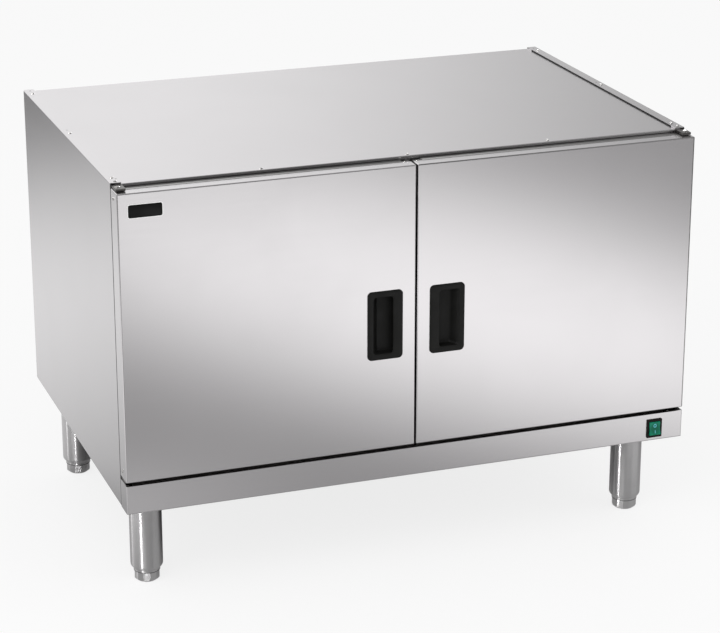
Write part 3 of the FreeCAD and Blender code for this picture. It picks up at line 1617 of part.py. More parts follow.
def terminal_block():
    """A ceramic strip of screw terminals on the under tray, beside the gland."""
    body = new_body("terminal_block")
    end = half_width - size("terminal_side_inset")
    start = end - size("terminal_width")
    far = rear - size("terminal_setback")
    near = far - size("terminal_depth")
    high = tray_top + size("terminal_height")
    add(body, "XY_Plane", tray_top, high, box_corners(start, end, near, far))
    step = size("terminal_width") / size("terminal_count")
    screw = cut_round(
        body,
        "XY_Plane",
        high - size("terminal_screw_depth"),
        high + overrun,
        [(start + step / 2, (near + far) / 2)],
        size("terminal_screw_radius"),
    )
    run = size("terminal_width") - step
    pattern(body, screw, "X_Axis", run, size("terminal_count"))


def wiring_looms():
    """Sleeved bundles: from the terminals forward to the thermostat, and from there to the switch."""
    radius = size("loom_radius")
    end = half_width - size("terminal_side_inset")
    block_front = rear - size("terminal_setback") - size("terminal_depth")
    low = tray_top + size("loom_rise")
    lane = end - size("loom_side_inset")
    thermostat_front = front + size("thermostat_setback")
    thermostat_back = thermostat_front + size("thermostat_depth")
    thermostat_middle = thermostat_start + size("thermostat_width") / 2
    turn_line = (block_front + thermostat_back) / 2
    rear_run = (
        (lane, block_front, low),
        (lane, turn_line, low),
        (thermostat_middle, turn_line, low),
        (thermostat_middle, thermostat_back, low),
    )
    switch_turn = thermostat_front - size("switch_loom_setback")
    tabs_end = front + size("switch_body_depth") + size("switch_tab_length")
    front_run = (
        (thermostat_middle, thermostat_front, switch_height),
        (thermostat_middle, switch_turn, switch_height),
        (switch_across, switch_turn, switch_height),
        (switch_across, tabs_end, switch_height),
    )
    rear_loom = tube_shape(rear_run, size("loom_bend_radius"), radius)
    front_loom = tube_shape(front_run, size("loom_bend_radius") / 2, radius)
    swept_piece("wiring_looms", Part.makeCompound([rear_loom, front_loom]))


gland_across = half_width - size("gland_side_inset")
gland_height = tray_top + size("gland_height")
bonding_across = half_width - size("bonding_side_inset")
bonding_height = tray_top + size("bonding_height")
thermostat_start = half_width - size("thermostat_side_inset") - size("thermostat_width")
handle_height = base + size("handle_centre_height")
cup_half_width = size("handle_width") / 2 - size("handle_border")
cup_half_height = size("handle_height") / 2 - size("handle_border")
hinge_block_inset = sheet_gauge + size("inner_door_gap") + liner_gauge + seat_gap
block_side = half_width - hinge_block_inset
hinge_rivet_heights = (
    door_top - hinge_block_inset - size("hinge_block_height") / 2,
    door_bottom + hinge_block_inset + size("hinge_block_height") / 2,
)
rivet_back = pin_line
meeting_rivet_across = size("door_split_gap") / 2 + size("meeting_rivet_inset")
meeting_rivet_line = (front + size("door_rim_depth") + door_back) / 2
rocker_pivot_line = front - size("rocker_pivot_setback")

for word, side in SIDES.items():
    side_panel(word + "_side_panel", side)
top_panel()
rear_panel()
under_tray()
plinth_panel()
front_top_rail()
inner_lining()
top_stiffeners()
chamber_floor()
shelf_and_runners()
for word, side in SIDES.items():
    door_outer_skin(word + "_door_outer_skin", side)
    door_inner_panel(word + "_door_inner_panel", side)
    door_hinge_blocks(word + "_door_hinge_blocks", side)
    door_rivets(word + "_door_rivets", side)
    door_handle(word + "_door_handle", side)
badge_plate()
catches_and_strikes()
hinge_brackets_and_pins()
cabinet_screws()
top_rivets()
for corner, (side, back) in leg_places.items():
    leg_tube(corner + "_leg", side, back)
    levelling_foot(corner + "_foot", side, back)
leg_inserts()
leg_mountings()
switch_housing()
switch_rocker()
heating()
thermostat()
cable_gland()
bonding_stud()
terminal_block()
wiring_looms()
doc.recompute()

faults = []
for item in doc.Objects:
    if "Invalid" in item.State or "Error" in item.State:
        faults.append(item.Name + " " + item.Label)
for name, piece in NODES.items():
    if piece.Shape.isNull() or not piece.Shape.isValid():
        faults.append(name + " has no valid shape")
if faults:
    raise RuntimeError("These objects failed: " + ", ".join(faults))

os.makedirs("parts", exist_ok=True)
for name, piece in NODES.items():
    piece.Shape.exportStep("parts/" + name + ".step")
print(len(NODES), "sub-parts written")
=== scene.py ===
import json
import math

import bmesh
import bpy
from mathutils import Matrix, Vector


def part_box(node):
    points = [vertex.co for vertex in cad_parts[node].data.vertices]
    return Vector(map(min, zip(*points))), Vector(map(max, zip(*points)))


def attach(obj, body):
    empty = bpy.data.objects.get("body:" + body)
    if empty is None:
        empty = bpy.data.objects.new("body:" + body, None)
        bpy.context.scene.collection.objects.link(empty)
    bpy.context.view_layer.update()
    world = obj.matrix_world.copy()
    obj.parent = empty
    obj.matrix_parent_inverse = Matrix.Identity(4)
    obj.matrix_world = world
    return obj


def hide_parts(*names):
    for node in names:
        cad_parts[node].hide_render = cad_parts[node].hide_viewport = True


# A stainless plate warmer cabinet on four legs, in metres, +Z up, the doors facing -Y.

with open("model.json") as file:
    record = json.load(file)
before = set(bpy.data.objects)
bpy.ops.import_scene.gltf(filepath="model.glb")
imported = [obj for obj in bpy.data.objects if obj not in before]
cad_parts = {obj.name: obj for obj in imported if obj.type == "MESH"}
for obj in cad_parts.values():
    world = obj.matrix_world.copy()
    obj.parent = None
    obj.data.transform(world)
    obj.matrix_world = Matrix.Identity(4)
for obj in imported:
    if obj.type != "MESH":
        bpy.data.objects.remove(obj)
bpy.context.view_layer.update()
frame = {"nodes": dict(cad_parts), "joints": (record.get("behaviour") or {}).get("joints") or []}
nodes = frame["nodes"]


# Shader nodes

class Shader:
    """A node tree being built: add places a node, sets its sockets and links what it is given."""

    def __init__(self, tree):
        self.tree = tree

    def add(self, kind, settings=None, **inputs):
        node = self.tree.nodes.new(kind)
        for name, value in (settings or {}).items():
            setattr(node, name, value)
        for name, value in inputs.items():
            self.feed(node, name.replace("_", " "), value)
        return node

    def feed(self, node, name, value):
        """Sets or links a socket, found by its name or, as slot and a number, by its place."""
        number = name.removeprefix("slot ")
        socket = node.inputs[name if number == name else int(number)]
        if isinstance(value, bpy.types.NodeSocket):
            self.tree.links.new(value, socket)
        else:
            socket.default_value = value

    def group(self, tree, **inputs):
        return self.add("ShaderNodeGroup", {"node_tree": tree}, **inputs)

    def math(self, operation, first, second=0.0):
        node = self.add("ShaderNodeMath", {"operation": operation}, slot_0=first, slot_1=second)
        return node.outputs[0]

    def mix_value(self, share, first, second):
        settings = {"data_type": "FLOAT"}
        node = self.add("ShaderNodeMix", settings, slot_0=share, slot_2=first, slot_3=second)
        return node.outputs[0]

    def mix_colour(self, share, first, second):
        settings = {"data_type": "RGBA"}
        node = self.add("ShaderNodeMix", settings, slot_0=share, slot_6=first, slot_7=second)
        return node.outputs[2]

    def mix_shader(self, share, first, second):
        node = self.add("ShaderNodeMixShader", slot_0=share, slot_1=first, slot_2=second)
        return node.outputs[0]

    def tinted(self, colour, tone):
        """The colour with its brightness multiplied by a tone."""
        settings = {"operation": "SCALE"}
        node = self.add("ShaderNodeVectorMath", settings, slot_0=colour, Scale=tone)
        return node.outputs[0]

    def remap(self, value, low, high, new_low, new_high):
        """Carries a value from one range over to another and stops it at the ends."""
        node = self.add(
            "ShaderNodeMapRange",
            {"clamp": True},
            Value=value,
            From_Min=low,
            From_Max=high,
            To_Min=new_low,
            To_Max=new_high,
        )
        return node.outputs[0]

    def noise(self, vector, scale, detail):
        node = self.add("ShaderNodeTexNoise", Vector=vector, Scale=scale, Detail=detail)
        return node.outputs["Fac"]

    def ball(self, vector, centre, size, turn=0.0):
        """1 at a centre, falling evenly to 0 at an ellipsoid round it, which may be turned."""
        near = self.add(
            "ShaderNodeMapping",
            {"vector_type": "TEXTURE"},
            Vector=vector,
            Location=centre,
            Rotation=(0.0, 0.0, turn),
            Scale=size,
        )
        settings = {"gradient_type": "SPHERICAL"}
        node = self.add("ShaderNodeTexGradient", settings, Vector=near.outputs[0])
        return node.outputs["Fac"]

    def bump(self, height, strength, distance):
        node = self.add("ShaderNodeBump", Height=height, Strength=strength, Distance=distance)
        return node.outputs[0]


def new_group(name, inputs, outputs):
    """A node group with its named sockets, its input node and its output node."""
    tree = bpy.data.node_groups.new(name, "ShaderNodeTree")
    for socket, kind, default in inputs:
        made = tree.interface.new_socket(socket, in_out="INPUT", socket_type=kind)
        if default is not None:
            made.default_value = default
    for socket, kind in outputs:
        tree.interface.new_socket(socket, in_out="OUTPUT", socket_type=kind)
    shader = Shader(tree)
    return shader, shader.add("NodeGroupInput"), shader.add("NodeGroupOutput")


# The grain's coarse streaks and its hair lines: scale, detail and share of the grain
STREAKS = (1.0, 3.0, 0.6)
HAIR_LINES = (4.5, 2.0, 0.4)


def brushed_grain_group():
    """Fine parallel scratches, on coordinates that a mapping has stretched along them."""
    shader, given, result = new_group(
        "brushed_grain",
        (
            ("Vector", "NodeSocketVector", None),
            ("Tone Depth", "NodeSocketFloat", 0.05),
            ("Rough Base", "NodeSocketFloat", 0.28),
            ("Rough Depth", "NodeSocketFloat", 0.06),
        ),
        (
            ("Tone", "NodeSocketFloat"),
            ("Roughness", "NodeSocketFloat"),
            ("Height", "NodeSocketFloat"),
        ),
    )
    streaks, hairs = (
        shader.math("MULTIPLY", shader.noise(given.outputs["Vector"], scale, detail), share)
        for scale, detail, share in (STREAKS, HAIR_LINES)
    )
    lines = shader.math("ADD", streaks, hairs)
    spread = shader.math("MULTIPLY", shader.math("SUBTRACT", lines, 0.5), 2.0)
    tone = shader.math("MULTIPLY", spread, given.outputs["Tone Depth"])
    rough = shader.math("MULTIPLY", spread, given.outputs["Rough Depth"])
    shader.feed(result, "Tone", shader.math("ADD", tone, 1.0))
    shader.feed(result, "Roughness", shader.math("ADD", rough, given.outputs["Rough Base"]))
    shader.feed(result, "Height", lines)
    return shader.tree


def handling_marks_group():
    """Faint cloudy smears left by wiping and by hands, as a mask from 0 to 1."""
    shader, given, result = new_group(
        "handling_marks",
        (("Vector", "NodeSocketVector", None), ("Scale", "NodeSocketFloat", 6.0)),
        (("Mask", "NodeSocketFloat"),),
    )
    clouds = shader.add(
        "ShaderNodeTexNoise",
        Vector=given.outputs["Vector"],
        Scale=given.outputs["Scale"],
        Detail=4.0,
        Roughness=0.55,
        Distortion=0.6,
    )
    shader.feed(result, "Mask", shader.remap(clouds.outputs["Fac"], 0.42, 0.68, 0.0, 1.0))
    return shader.tree


# The scale of a moulded skin's fine texture
FINE_GRAIN = 2200.0


def moulded_skin_group():
    """The fine spark texture of a moulded plastic skin, and the slight fading of its colour."""
    shader, given, result = new_group(
        "moulded_skin",
        (("Vector", "NodeSocketVector", None), ("Grain Scale", "NodeSocketFloat", FINE_GRAIN)),
        (("Height", "NodeSocketFloat"), ("Fade", "NodeSocketFloat")),
    )
    vector = given.outputs["Vector"]
    shader.feed(result, "Height", shader.noise(vector, given.outputs["Grain Scale"], 2.0))
    fade = shader.noise(vector, 40.0, 3.0)
    shader.feed(result, "Fade", shader.remap(fade, 0.35, 0.7, 0.0, 1.0))
    return shader.tree


brushed_grain = brushed_grain_group()
handling_marks = handling_marks_group()
moulded_skin = moulded_skin_group()


def new_material(name):
    material = bpy.data.materials.new(name)
    material.use_nodes = True
    shader = Shader(material.node_tree)
    surface = material.node_tree.nodes["Principled BSDF"]
    return material, shader, surface


# How far the painted shade on a bend takes to come in
BEND_SHADE_FADE = 0.0003


def painted_bend_shade(shader, place, axis, start, forward, tone):
    """Painted shade on a bend: 1 on the flat sheet and the given darker tone past a start on one
    axis, on what lies in front.
    """
    axes = shader.add("ShaderNodeSeparateXYZ", Vector=place)
    from_middle = shader.math("ABSOLUTE", axes.outputs[axis])
    past_start = shader.remap(from_middle, start, start + BEND_SHADE_FADE, 0.0, 1.0)
    past_front = shader.remap(axes.outputs["Y"], forward - BEND_SHADE_FADE, forward, 1.0, 0.0)
    on_shaded_bend = shader.math("MULTIPLY", past_start, past_front)
    return shader.remap(on_shaded_bend, 0.0, 1.0, 1.0, tone)


# How much smears darken and roughen steel, how its grain varies the roughness, and its relief
SMEAR_DARKENING = 0.006
SMEAR_ROUGHENING = 0.015
GRAIN_ROUGHENING = 0.025
GRAIN_BUMP = 0.03
GRAIN_HEIGHT = 0.0002


def steel_material(name, colour, stretch, roughness, tone_depth, bend_shades=()):
    """Brushed or drawn stainless steel: stretch gives the grain's pitch along X, Y and Z, and the
    bends given get painted shade.
    """
    material, shader, surface = new_material(name)
    place = shader.add("ShaderNodeTexCoord").outputs["Object"]
    along = shader.add("ShaderNodeMapping", Vector=place, Scale=stretch)
    grain = shader.group(
        brushed_grain,
        Vector=along.outputs[0],
        Tone_Depth=tone_depth,
        Rough_Base=roughness,
        Rough_Depth=GRAIN_ROUGHENING,
    )
    smears = shader.group(handling_marks, Vector=place).outputs["Mask"]
    darkening = shader.math("MULTIPLY", smears, SMEAR_DARKENING)
    tone = shader.math("SUBTRACT", grain.outputs["Tone"], darkening)
    # Painted shade on the bends given, darkening their edges the way the dark gaps beside them
    # would
    for bend in bend_shades:
        tone = shader.math("MULTIPLY", tone, painted_bend_shade(shader, place, *bend))
    shader.feed(surface, "Base Color", shader.tinted(colour, tone))
    roughening = shader.math("MULTIPLY", smears, SMEAR_ROUGHENING)
    rough = shader.math("ADD", grain.outputs["Roughness"], roughening)
    shader.feed(surface, "Roughness", rough)
    surface.inputs["Metallic"].default_value = 1.0
    relief = shader.bump(grain.outputs["Height"], GRAIN_BUMP, GRAIN_HEIGHT)
    shader.feed(surface, "Normal", relief)
    return material


# The scale of hand smears on plastic, how much they roughen it, and the height of its texture
PLASTIC_SMEAR_SCALE = 25.0
PLASTIC_SMEAR_ROUGHENING = 0.08
PLASTIC_HEIGHT = 0.0001


def plastic_material(name, colour, faded, roughness, bump, grain_scale, gloss):
    """Moulded plastic with a spark texture and a little uneven fading."""
    material, shader, surface = new_material(name)
    place = shader.add("ShaderNodeTexCoord").outputs["Object"]
    skin = shader.group(moulded_skin, Vector=place, Grain_Scale=grain_scale)
    smears = shader.group(handling_marks, Vector=place, Scale=PLASTIC_SMEAR_SCALE)
    shade = shader.mix_colour(skin.outputs["Fade"], (*colour, 1.0), (*faded, 1.0))
    shader.feed(surface, "Base Color", shade)
    rough = shader.math("MULTIPLY", smears.outputs["Mask"], PLASTIC_SMEAR_ROUGHENING)
    shader.feed(surface, "Roughness", shader.math("ADD", rough, roughness))
    surface.inputs["Specular IOR Level"].default_value = gloss
    relief = shader.bump(skin.outputs["Height"], bump, PLASTIC_HEIGHT)
    shader.feed(surface, "Normal", relief)
    return material


# Finishes

ALONG_X = (3.0, 260.0, 260.0)
ALONG_Y = (260.0, 3.0, 260.0)
AROUND_LEG = (6.0, 6.0, 1500.0)

STAINLESS = (0.716, 0.698, 0.709)
LEG_STEEL = (0.70, 0.69, 0.695)

# Painted shade and dark reflection on the bends and the top's lip, standing in for the dark gaps
# beside them: each one's axis, where it starts on that axis and towards the front, and how dark it
# is
LEFT_DOOR_BEND_SHADE = (("X", 0.4484, -0.2984, 0.65),)
RIGHT_DOOR_BEND_SHADE = (("X", 0.4476, -0.2984, 0.4), ("Z", 0.6374, -0.2984, 0.5))
PANEL_BEND_SHADE = (("X", 0.4478, -0.2631, 0.12),)
TOP_LIP_SHADE = (("Z", 0.625, -0.2642, 0.6),)

# Each steel's colour, grain, roughness, depth of tone and painted shade on its bends; the two front
# steels differ only in that painted shade
STEELS = {
    "left_front_steel": (STAINLESS, ALONG_X, 0.21, 0.012, LEFT_DOOR_BEND_SHADE),
    "right_front_steel": (STAINLESS, ALONG_X, 0.21, 0.012, RIGHT_DOOR_BEND_SHADE),
    "side_steel": (STAINLESS, ALONG_Y, 0.23, 0.03, PANEL_BEND_SHADE),
    "top_steel": (STAINLESS, ALONG_X, 0.24, 0.012, TOP_LIP_SHADE),
    "mill_steel": ((0.60, 0.595, 0.59), ALONG_X, 0.36, 0.05),
    "bright_steel": ((0.74, 0.73, 0.72), ALONG_Y, 0.16, 0.04),
    # Rivet steel is darker than the sheet it holds: painted shade that makes the domes show as dark
    # dots
    "shaded_rivet_steel": ((0.42, 0.41, 0.4), ALONG_Y, 0.13, 0.04),
    # The hem's steel is darker than the flange under it: painted shade of the trough under the
    # top's lip
    "shaded_hem_steel": ((0.42, 0.415, 0.41), ALONG_X, 0.3, 0.03),
    "hinge_steel": ((0.17, 0.165, 0.16), ALONG_Y, 0.3, 0.06),
    "wire_chrome": ((0.78, 0.78, 0.79), ALONG_Y, 0.12, 0.02),
    "sheath_steel": ((0.22, 0.2, 0.19), ALONG_X, 0.45, 0.2),
    "copper": ((0.78, 0.48, 0.3), ALONG_X, 0.3, 0.08),
}

# Each plastic's colour, the colour it fades to, roughness, bump, grain scale and gloss
PLASTICS = {
    "handle_plastic": ((0.006, 0.006, 0.0055), (0.009, 0.009, 0.0085), 0.42, 0.15, FINE_GRAIN, 0.2),
    "badge_enamel": ((0.004, 0.004, 0.004), (0.006, 0.006, 0.006), 0.3, 0.04, FINE_GRAIN, 0.2),
    "switch_plastic": ((0.006, 0.0045, 0.004), (0.01, 0.008, 0.007), 0.34, 0.08, FINE_GRAIN, 0.15),
    # A black for strips laid along gaps as painted shade
    "shadow_strip_black": ((0.012, 0.012, 0.012), (0.02, 0.02, 0.02), 0.5, 0.1, 600.0, 0.2),
    "nylon": ((0.8, 0.79, 0.76), (0.72, 0.7, 0.66), 0.45, 0.15, FINE_GRAIN, 0.5),
    "ceramic": ((0.82, 0.81, 0.77), (0.76, 0.74, 0.7), 0.2, 0.04, FINE_GRAIN, 0.5),
    "sleeve": ((0.03, 0.03, 0.03), (0.06, 0.055, 0.05), 0.7, 0.5, 900.0, 0.5),
    "mark_paint": ((0.13, 0.5, 0.56), (0.1, 0.43, 0.5), 0.4, 0.03, FINE_GRAIN, 0.3),
    "rule_paint": ((0.93, 0.93, 0.92), (0.88, 0.88, 0.87), 0.4, 0.03, FINE_GRAIN, 0.5),
}

finishes = {name: steel_material(name, *values) for name, values in STEELS.items()}
finishes.update({name: plastic_material(name, *values) for name, values in PLASTICS.items()})

# The ring of painted shade at a leg's mouth, where the tube meets its foot: the heights between
# which it comes in and those between which it goes out, and how dark it is
LEG_SEAM_SHADE_IN = (0.0161, 0.0162)
LEG_SEAM_SHADE_OUT = (0.0174, 0.0178)
LEG_SEAM_SHADE_TONE = 0.35

LEG_SMEAR_DARKENING = 0.04


def turned_steel_material():
    """Leg tube turned in a lathe: its rings draw each light out into an upright streak."""
    material, shader, surface = new_material("turned_steel")
    place = shader.add("ShaderNodeTexCoord").outputs["Object"]
    rings = shader.add("ShaderNodeMapping", Vector=place, Scale=AROUND_LEG)
    grain = shader.group(
        brushed_grain,
        Vector=rings.outputs[0],
        Tone_Depth=0.04,
        Rough_Base=0.33,
        Rough_Depth=0.02,
    )
    smears = shader.group(handling_marks, Vector=place, Scale=30.0)
    darkening = shader.math("MULTIPLY", smears.outputs["Mask"], LEG_SMEAR_DARKENING)
    tone = shader.math("SUBTRACT", grain.outputs["Tone"], darkening)
    # Painted shade in a ring over the foot, where the tube's mouth meets it
    height = shader.add("ShaderNodeSeparateXYZ", Vector=place).outputs["Z"]
    over_foot = shader.remap(height, *LEG_SEAM_SHADE_IN, 0.0, 1.0)
    under_neck = shader.remap(height, *LEG_SEAM_SHADE_OUT, 1.0, 0.0)
    in_seam_shade = shader.math("MULTIPLY", over_foot, under_neck)
    ring = shader.remap(in_seam_shade, 0.0, 1.0, 1.0, LEG_SEAM_SHADE_TONE)
    tone = shader.math("MULTIPLY", tone, ring)
    shader.feed(surface, "Base Color", shader.tinted(LEG_STEEL, tone))
    shader.feed(surface, "Roughness", grain.outputs["Roughness"])
    surface.inputs["Metallic"].default_value = 1.0
    surface.inputs["Anisotropic"].default_value = 1.0
    surface.inputs["Anisotropic Rotation"].default_value = 0.25
    round_tube = shader.add("ShaderNodeTangent", {"direction_type": "RADIAL", "axis": "Z"})
    shader.feed(surface, "Tangent", round_tube.outputs[0])
    relief = shader.bump(grain.outputs["Height"], 2 * GRAIN_BUMP, GRAIN_HEIGHT)
    shader.feed(surface, "Normal", relief)
    return material


finishes["turned_steel"] = turned_steel_material()

# The rocker's painted dark core of shade and where it fades, the streaks that cloud it, the greens
# of its rim, painted lighter as a glow of light through the plastic, and of its core, and its
# roughness and gloss
ROCKER_SHADED_CORE = (0.0125, 0.03, 0.0135)
ROCKER_SHADED_CORE_FADE = (0.35, 0.8)
ROCKER_STREAKS = (420.0, 420.0, 130.0)
ROCKER_STREAK_SHARE = 0.5
ROCKER_GLOW_RIM_GREEN = (0.005, 0.2, 0.115, 1.0)
ROCKER_SHADED_CORE_GREEN = (0.003, 0.11, 0.062, 1.0)
ROCKER_ROUGHNESS = (0.2, 0.32)
ROCKER_GLOSS = 0.22


def rocker_material(middle):
    """Translucent green plastic with painted light: a painted glow along its rim and painted shade
    inside.
    """
    material, shader, surface = new_material("rocker_green")
    place = shader.add("ShaderNodeTexCoord").outputs["Object"]
    # Painted light: the rim lighter as a glow through the plastic, the inside darker as shade
    core = shader.ball(place, middle, ROCKER_SHADED_CORE)
    streaks = shader.add("ShaderNodeMapping", Vector=place, Scale=ROCKER_STREAKS)
    cloud = shader.noise(streaks.outputs[0], 1.0, 3.0)
    dark = shader.math("ADD", core, shader.math("MULTIPLY", cloud, ROCKER_STREAK_SHARE))
    in_shaded_core = shader.remap(dark, *ROCKER_SHADED_CORE_FADE, 0.0, 1.0)
    green = shader.mix_colour(in_shaded_core, ROCKER_GLOW_RIM_GREEN, ROCKER_SHADED_CORE_GREEN)
    shader.feed(surface, "Base Color", green)
    smears = shader.group(handling_marks, Vector=place, Scale=90.0)
    rough = shader.remap(smears.outputs["Mask"], 0.0, 1.0, *ROCKER_ROUGHNESS)
    shader.feed(surface, "Roughness", rough)
    surface.inputs["Specular IOR Level"].default_value = ROCKER_GLOSS
    return material


rocker_low, rocker_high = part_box("switch_rocker")
finishes["rocker_green"] = rocker_material((rocker_low + rocker_high) / 2)

NODES_OF_FINISH = {
    "left_front_steel": ("left_door_outer_skin", "plinth_panel"),
    "right_front_steel": ("right_door_outer_skin",),
    "side_steel": ("left_side_panel", "right_side_panel"),
    "top_steel": ("top_panel",),
    "mill_steel": (
        "rear_panel",
        "under_tray",
        "chamber_floor",
        "left_inner_liner",
        "right_inner_liner",
        "rear_inner_liner",
        "ceiling_liner",
        "front_top_rail",
        "top_stiffeners",
        "left_door_inner_panel",
        "right_door_inner_panel",
        "shelf_runners",
        "leg_stiffening_plates",
        "heat_reflector",
        "element_brackets",
    ),
    "shaded_rivet_steel": (
        "hinge_pins",
        "cabinet_screws",
        "top_rivets",
        "left_door_rivets",
        "right_door_rivets",
    ),
    "hinge_steel": (
        "left_top_hinge_plate",
        "right_top_hinge_plate",
        "left_bottom_hinge_bracket",
        "right_bottom_hinge_bracket",
    ),
    "bright_steel": (
        "leg_studs",
        "left_door_strike_plate",
        "right_door_strike_plate",
    ),
    "turned_steel": (
        "front_left_leg",
        "front_right_leg",
        "rear_left_leg",
        "rear_right_leg",
        "front_left_foot",
        "front_right_foot",
        "rear_left_foot",
        "rear_right_foot",
    ),
    "wire_chrome": ("shelf",),
    "sheath_steel": ("heating_element",),
    "copper": ("thermostat_bulb", "bonding_stud"),
    "handle_plastic": ("left_door_handle", "right_door_handle"),
    "badge_enamel": ("badge_plate",),
    "switch_plastic": ("switch_housing", "thermostat_body", "cable_gland", "gland_locknut"),
    "nylon": (
        "leg_foot_inserts",
        "left_door_hinge_blocks",
        "right_door_hinge_blocks",
        "magnetic_catches",
    ),
    "ceramic": ("terminal_block",),
    "sleeve": ("wiring_looms",),
    "rocker_green": ("switch_rocker",),
}

for finish, members in NODES_OF_FINISH.items():
    for member in members:
        slots = nodes[member].data.materials
        slots.clear()
        slots.append(finishes[finish])


# Pieces that are finer than the solids they stand for

# The turn that stands a flat shape upright, the steps of a rounded corner and of an eased edge,
# the distance at which doubles merge, and the angle up to which faces count as one flat face
UPRIGHT = Matrix.Rotation(math.pi / 2, 4, "X")
CORNER_STEPS = 8
EDGE_STEPS = 2
MERGE_DISTANCE = 0.000002
FLAT_ANGLE = math.radians(1.0)


def dress(shape, name, finish, body, stands_for=(), sharp=35.0):
    """Turns a finished shape into a piece that rides on a body and stands for its CAD nodes."""
    mesh = bpy.data.meshes.new(name)
    bmesh.ops.recalc_face_normals(shape, faces=list(shape.faces))
    shape.to_mesh(mesh)
    shape.free()
    mesh.polygons.foreach_set("use_smooth", [True] * len(mesh.polygons))
    mesh.set_sharp_from_angle(angle=math.radians(sharp))
    mesh.materials.append(finishes[finish])
    piece = bpy.data.objects.new(name, mesh)
    bpy.context.scene.collection.objects.link(piece)
    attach(piece, body)
    if stands_for:
        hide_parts(*stands_for)
    return piece


def round_off(shape, geom, offset, steps, affect="EDGES", clamp=False):
    """Rounds edges or corners off in a number of steps."""
    bmesh.ops.bevel(
        shape,
        geom=geom,
        offset=offset,
        offset_type="OFFSET",
        segments=steps,
        profile=0.5,
        affect=affect,
        material=-1,
        clamp_overlap=clamp,
    )


def rounded_face(half_across, half_up, radius, steps=CORNER_STEPS):
    """A shape of one upright face towards -Y, centred on the origin, with rounded corners."""
    shape = bmesh.new()
    verts = bmesh.ops.create_grid(shape, x_segments=1, y_segments=1, size=1.0)["verts"]
    bmesh.ops.scale(shape, vec=(half_across, half_up, 1.0), verts=verts)
    bmesh.ops.rotate(shape, cent=(0.0, 0.0, 0.0), matrix=UPRIGHT.to_3x3(), verts=verts)
    round_off(shape, verts, radius, steps, "VERTICES")
    shape.faces.ensure_lookup_table()
    return shape, shape.faces[0]


def rounded_strip(middle, size, edge, steps=EDGE_STEPS):
    """A box of a size round its middle, with the edges of its top rounded off."""
    shape = bmesh.new()
    bmesh.ops.create_cube(shape, size=1.0)
    bmesh.ops.scale(shape, vec=size, verts=list(shape.verts))
    bmesh.ops.translate(shape, vec=middle, verts=list(shape.verts))
    tops = [e for e in shape.edges if all(v.co.z > middle[2] for v in e.verts)]
    round_off(shape, tops, edge, steps)
    return shape


def fit_outline(shape, face, low, high):
    """Scales and moves a face so that its outline fills a box from low to high."""
    verts = list(face.verts)
    now_low = Vector([min(v.co[axis] for v in verts) for axis in range(3)])
    now_high = Vector([max(v.co[axis] for v in verts) for axis in range(3)])
    middle = (now_low + now_high) / 2
    bmesh.ops.translate(shape, vec=-middle, verts=verts)
    stretch = [
        (high[axis] - low[axis]) / (now_high[axis] - now_low[axis]) if axis != 1 else 1.0
        for axis in range(3)
    ]
    bmesh.ops.scale(shape, vec=stretch, verts=verts)
    bmesh.ops.translate(shape, vec=(Vector(low) + Vector(high)) / 2, verts=verts)


def next_outline(shape, face, low, high):
    """Adds a ring of faces round a face and carries the face on to its next outline."""
    bmesh.ops.inset_individual(shape, faces=[face], thickness=OUTLINE_INSET, depth=0.0)
    fit_outline(shape, face, low, high)


# Outlines of a flush pull from the back of its cup, over the bezel and down into the recess:
# depth behind the bezel's front, then the inset of the free side, the far side and both ends
HANDLE_OUTLINES = (
    (0.0172, 0.0036, 0.0036, 0.0036),
    (0.0022, 0.0036, 0.0036, 0.0036),
    (0.0022, 0.0, 0.0, 0.0),
    (0.0013, 0.0, 0.0, 0.0),
    (0.0007, 0.0005, 0.0005, 0.0005),
    (0.0003, 0.0014, 0.0014, 0.0014),
    (0.0001, 0.0028, 0.0028, 0.0026),
    (0.0, 0.0045, 0.0042, 0.0042),
    (0.0002, 0.0138, 0.0078, 0.0082),
    (0.0005, 0.0148, 0.0088, 0.0091),
    (0.0012, 0.0153, 0.0094, 0.0096),
    (0.0026, 0.0154, 0.0102, 0.0097),
    (0.0030, 0.0149, 0.0106, 0.0097),
    (0.0032, 0.0075, 0.0108, 0.0097),
    (0.0042, 0.0064, 0.0116, 0.0098),
    (0.0128, 0.0066, 0.0168, 0.0102),
    (0.0144, 0.0076, 0.0184, 0.0112),
    (0.0150, 0.0100, 0.0205, 0.0135),
)

# The pull's corner radius, and the first width of each ring of faces round its outline
HANDLE_CORNER = 0.007
OUTLINE_INSET = 0.0001


def flush_pull(side):
    """A moulded door pull: a pillowed bezel, a soft mouth and a recess under the free lip."""
    node = f"{side}_door_handle"
    low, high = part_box(node)
    half_across, half_up = (high.x - low.x) / 2, (high.z - low.z) / 2
    shape, face = rounded_face(half_across, half_up, HANDLE_CORNER)
    for count, (depth, free, far, ends) in enumerate(HANDLE_OUTLINES):
        left, right = (far, free) if side == "left" else (free, far)
        y = low.y + depth
        outline = (
            (low.x + left, y, low.z + ends),
            (high.x - right, y, high.z - ends),
        )
        if count:
            next_outline(shape, face, *outline)
        else:
            fit_outline(shape, face, *outline)
    bmesh.ops.holes_fill(shape, edges=[e for e in shape.edges if e.is_boundary], sides=0)
    name = f"{side}_flush_pull"
    dress(shape, name, "handle_plastic", f"{side}_door", (node,), sharp=50.0)


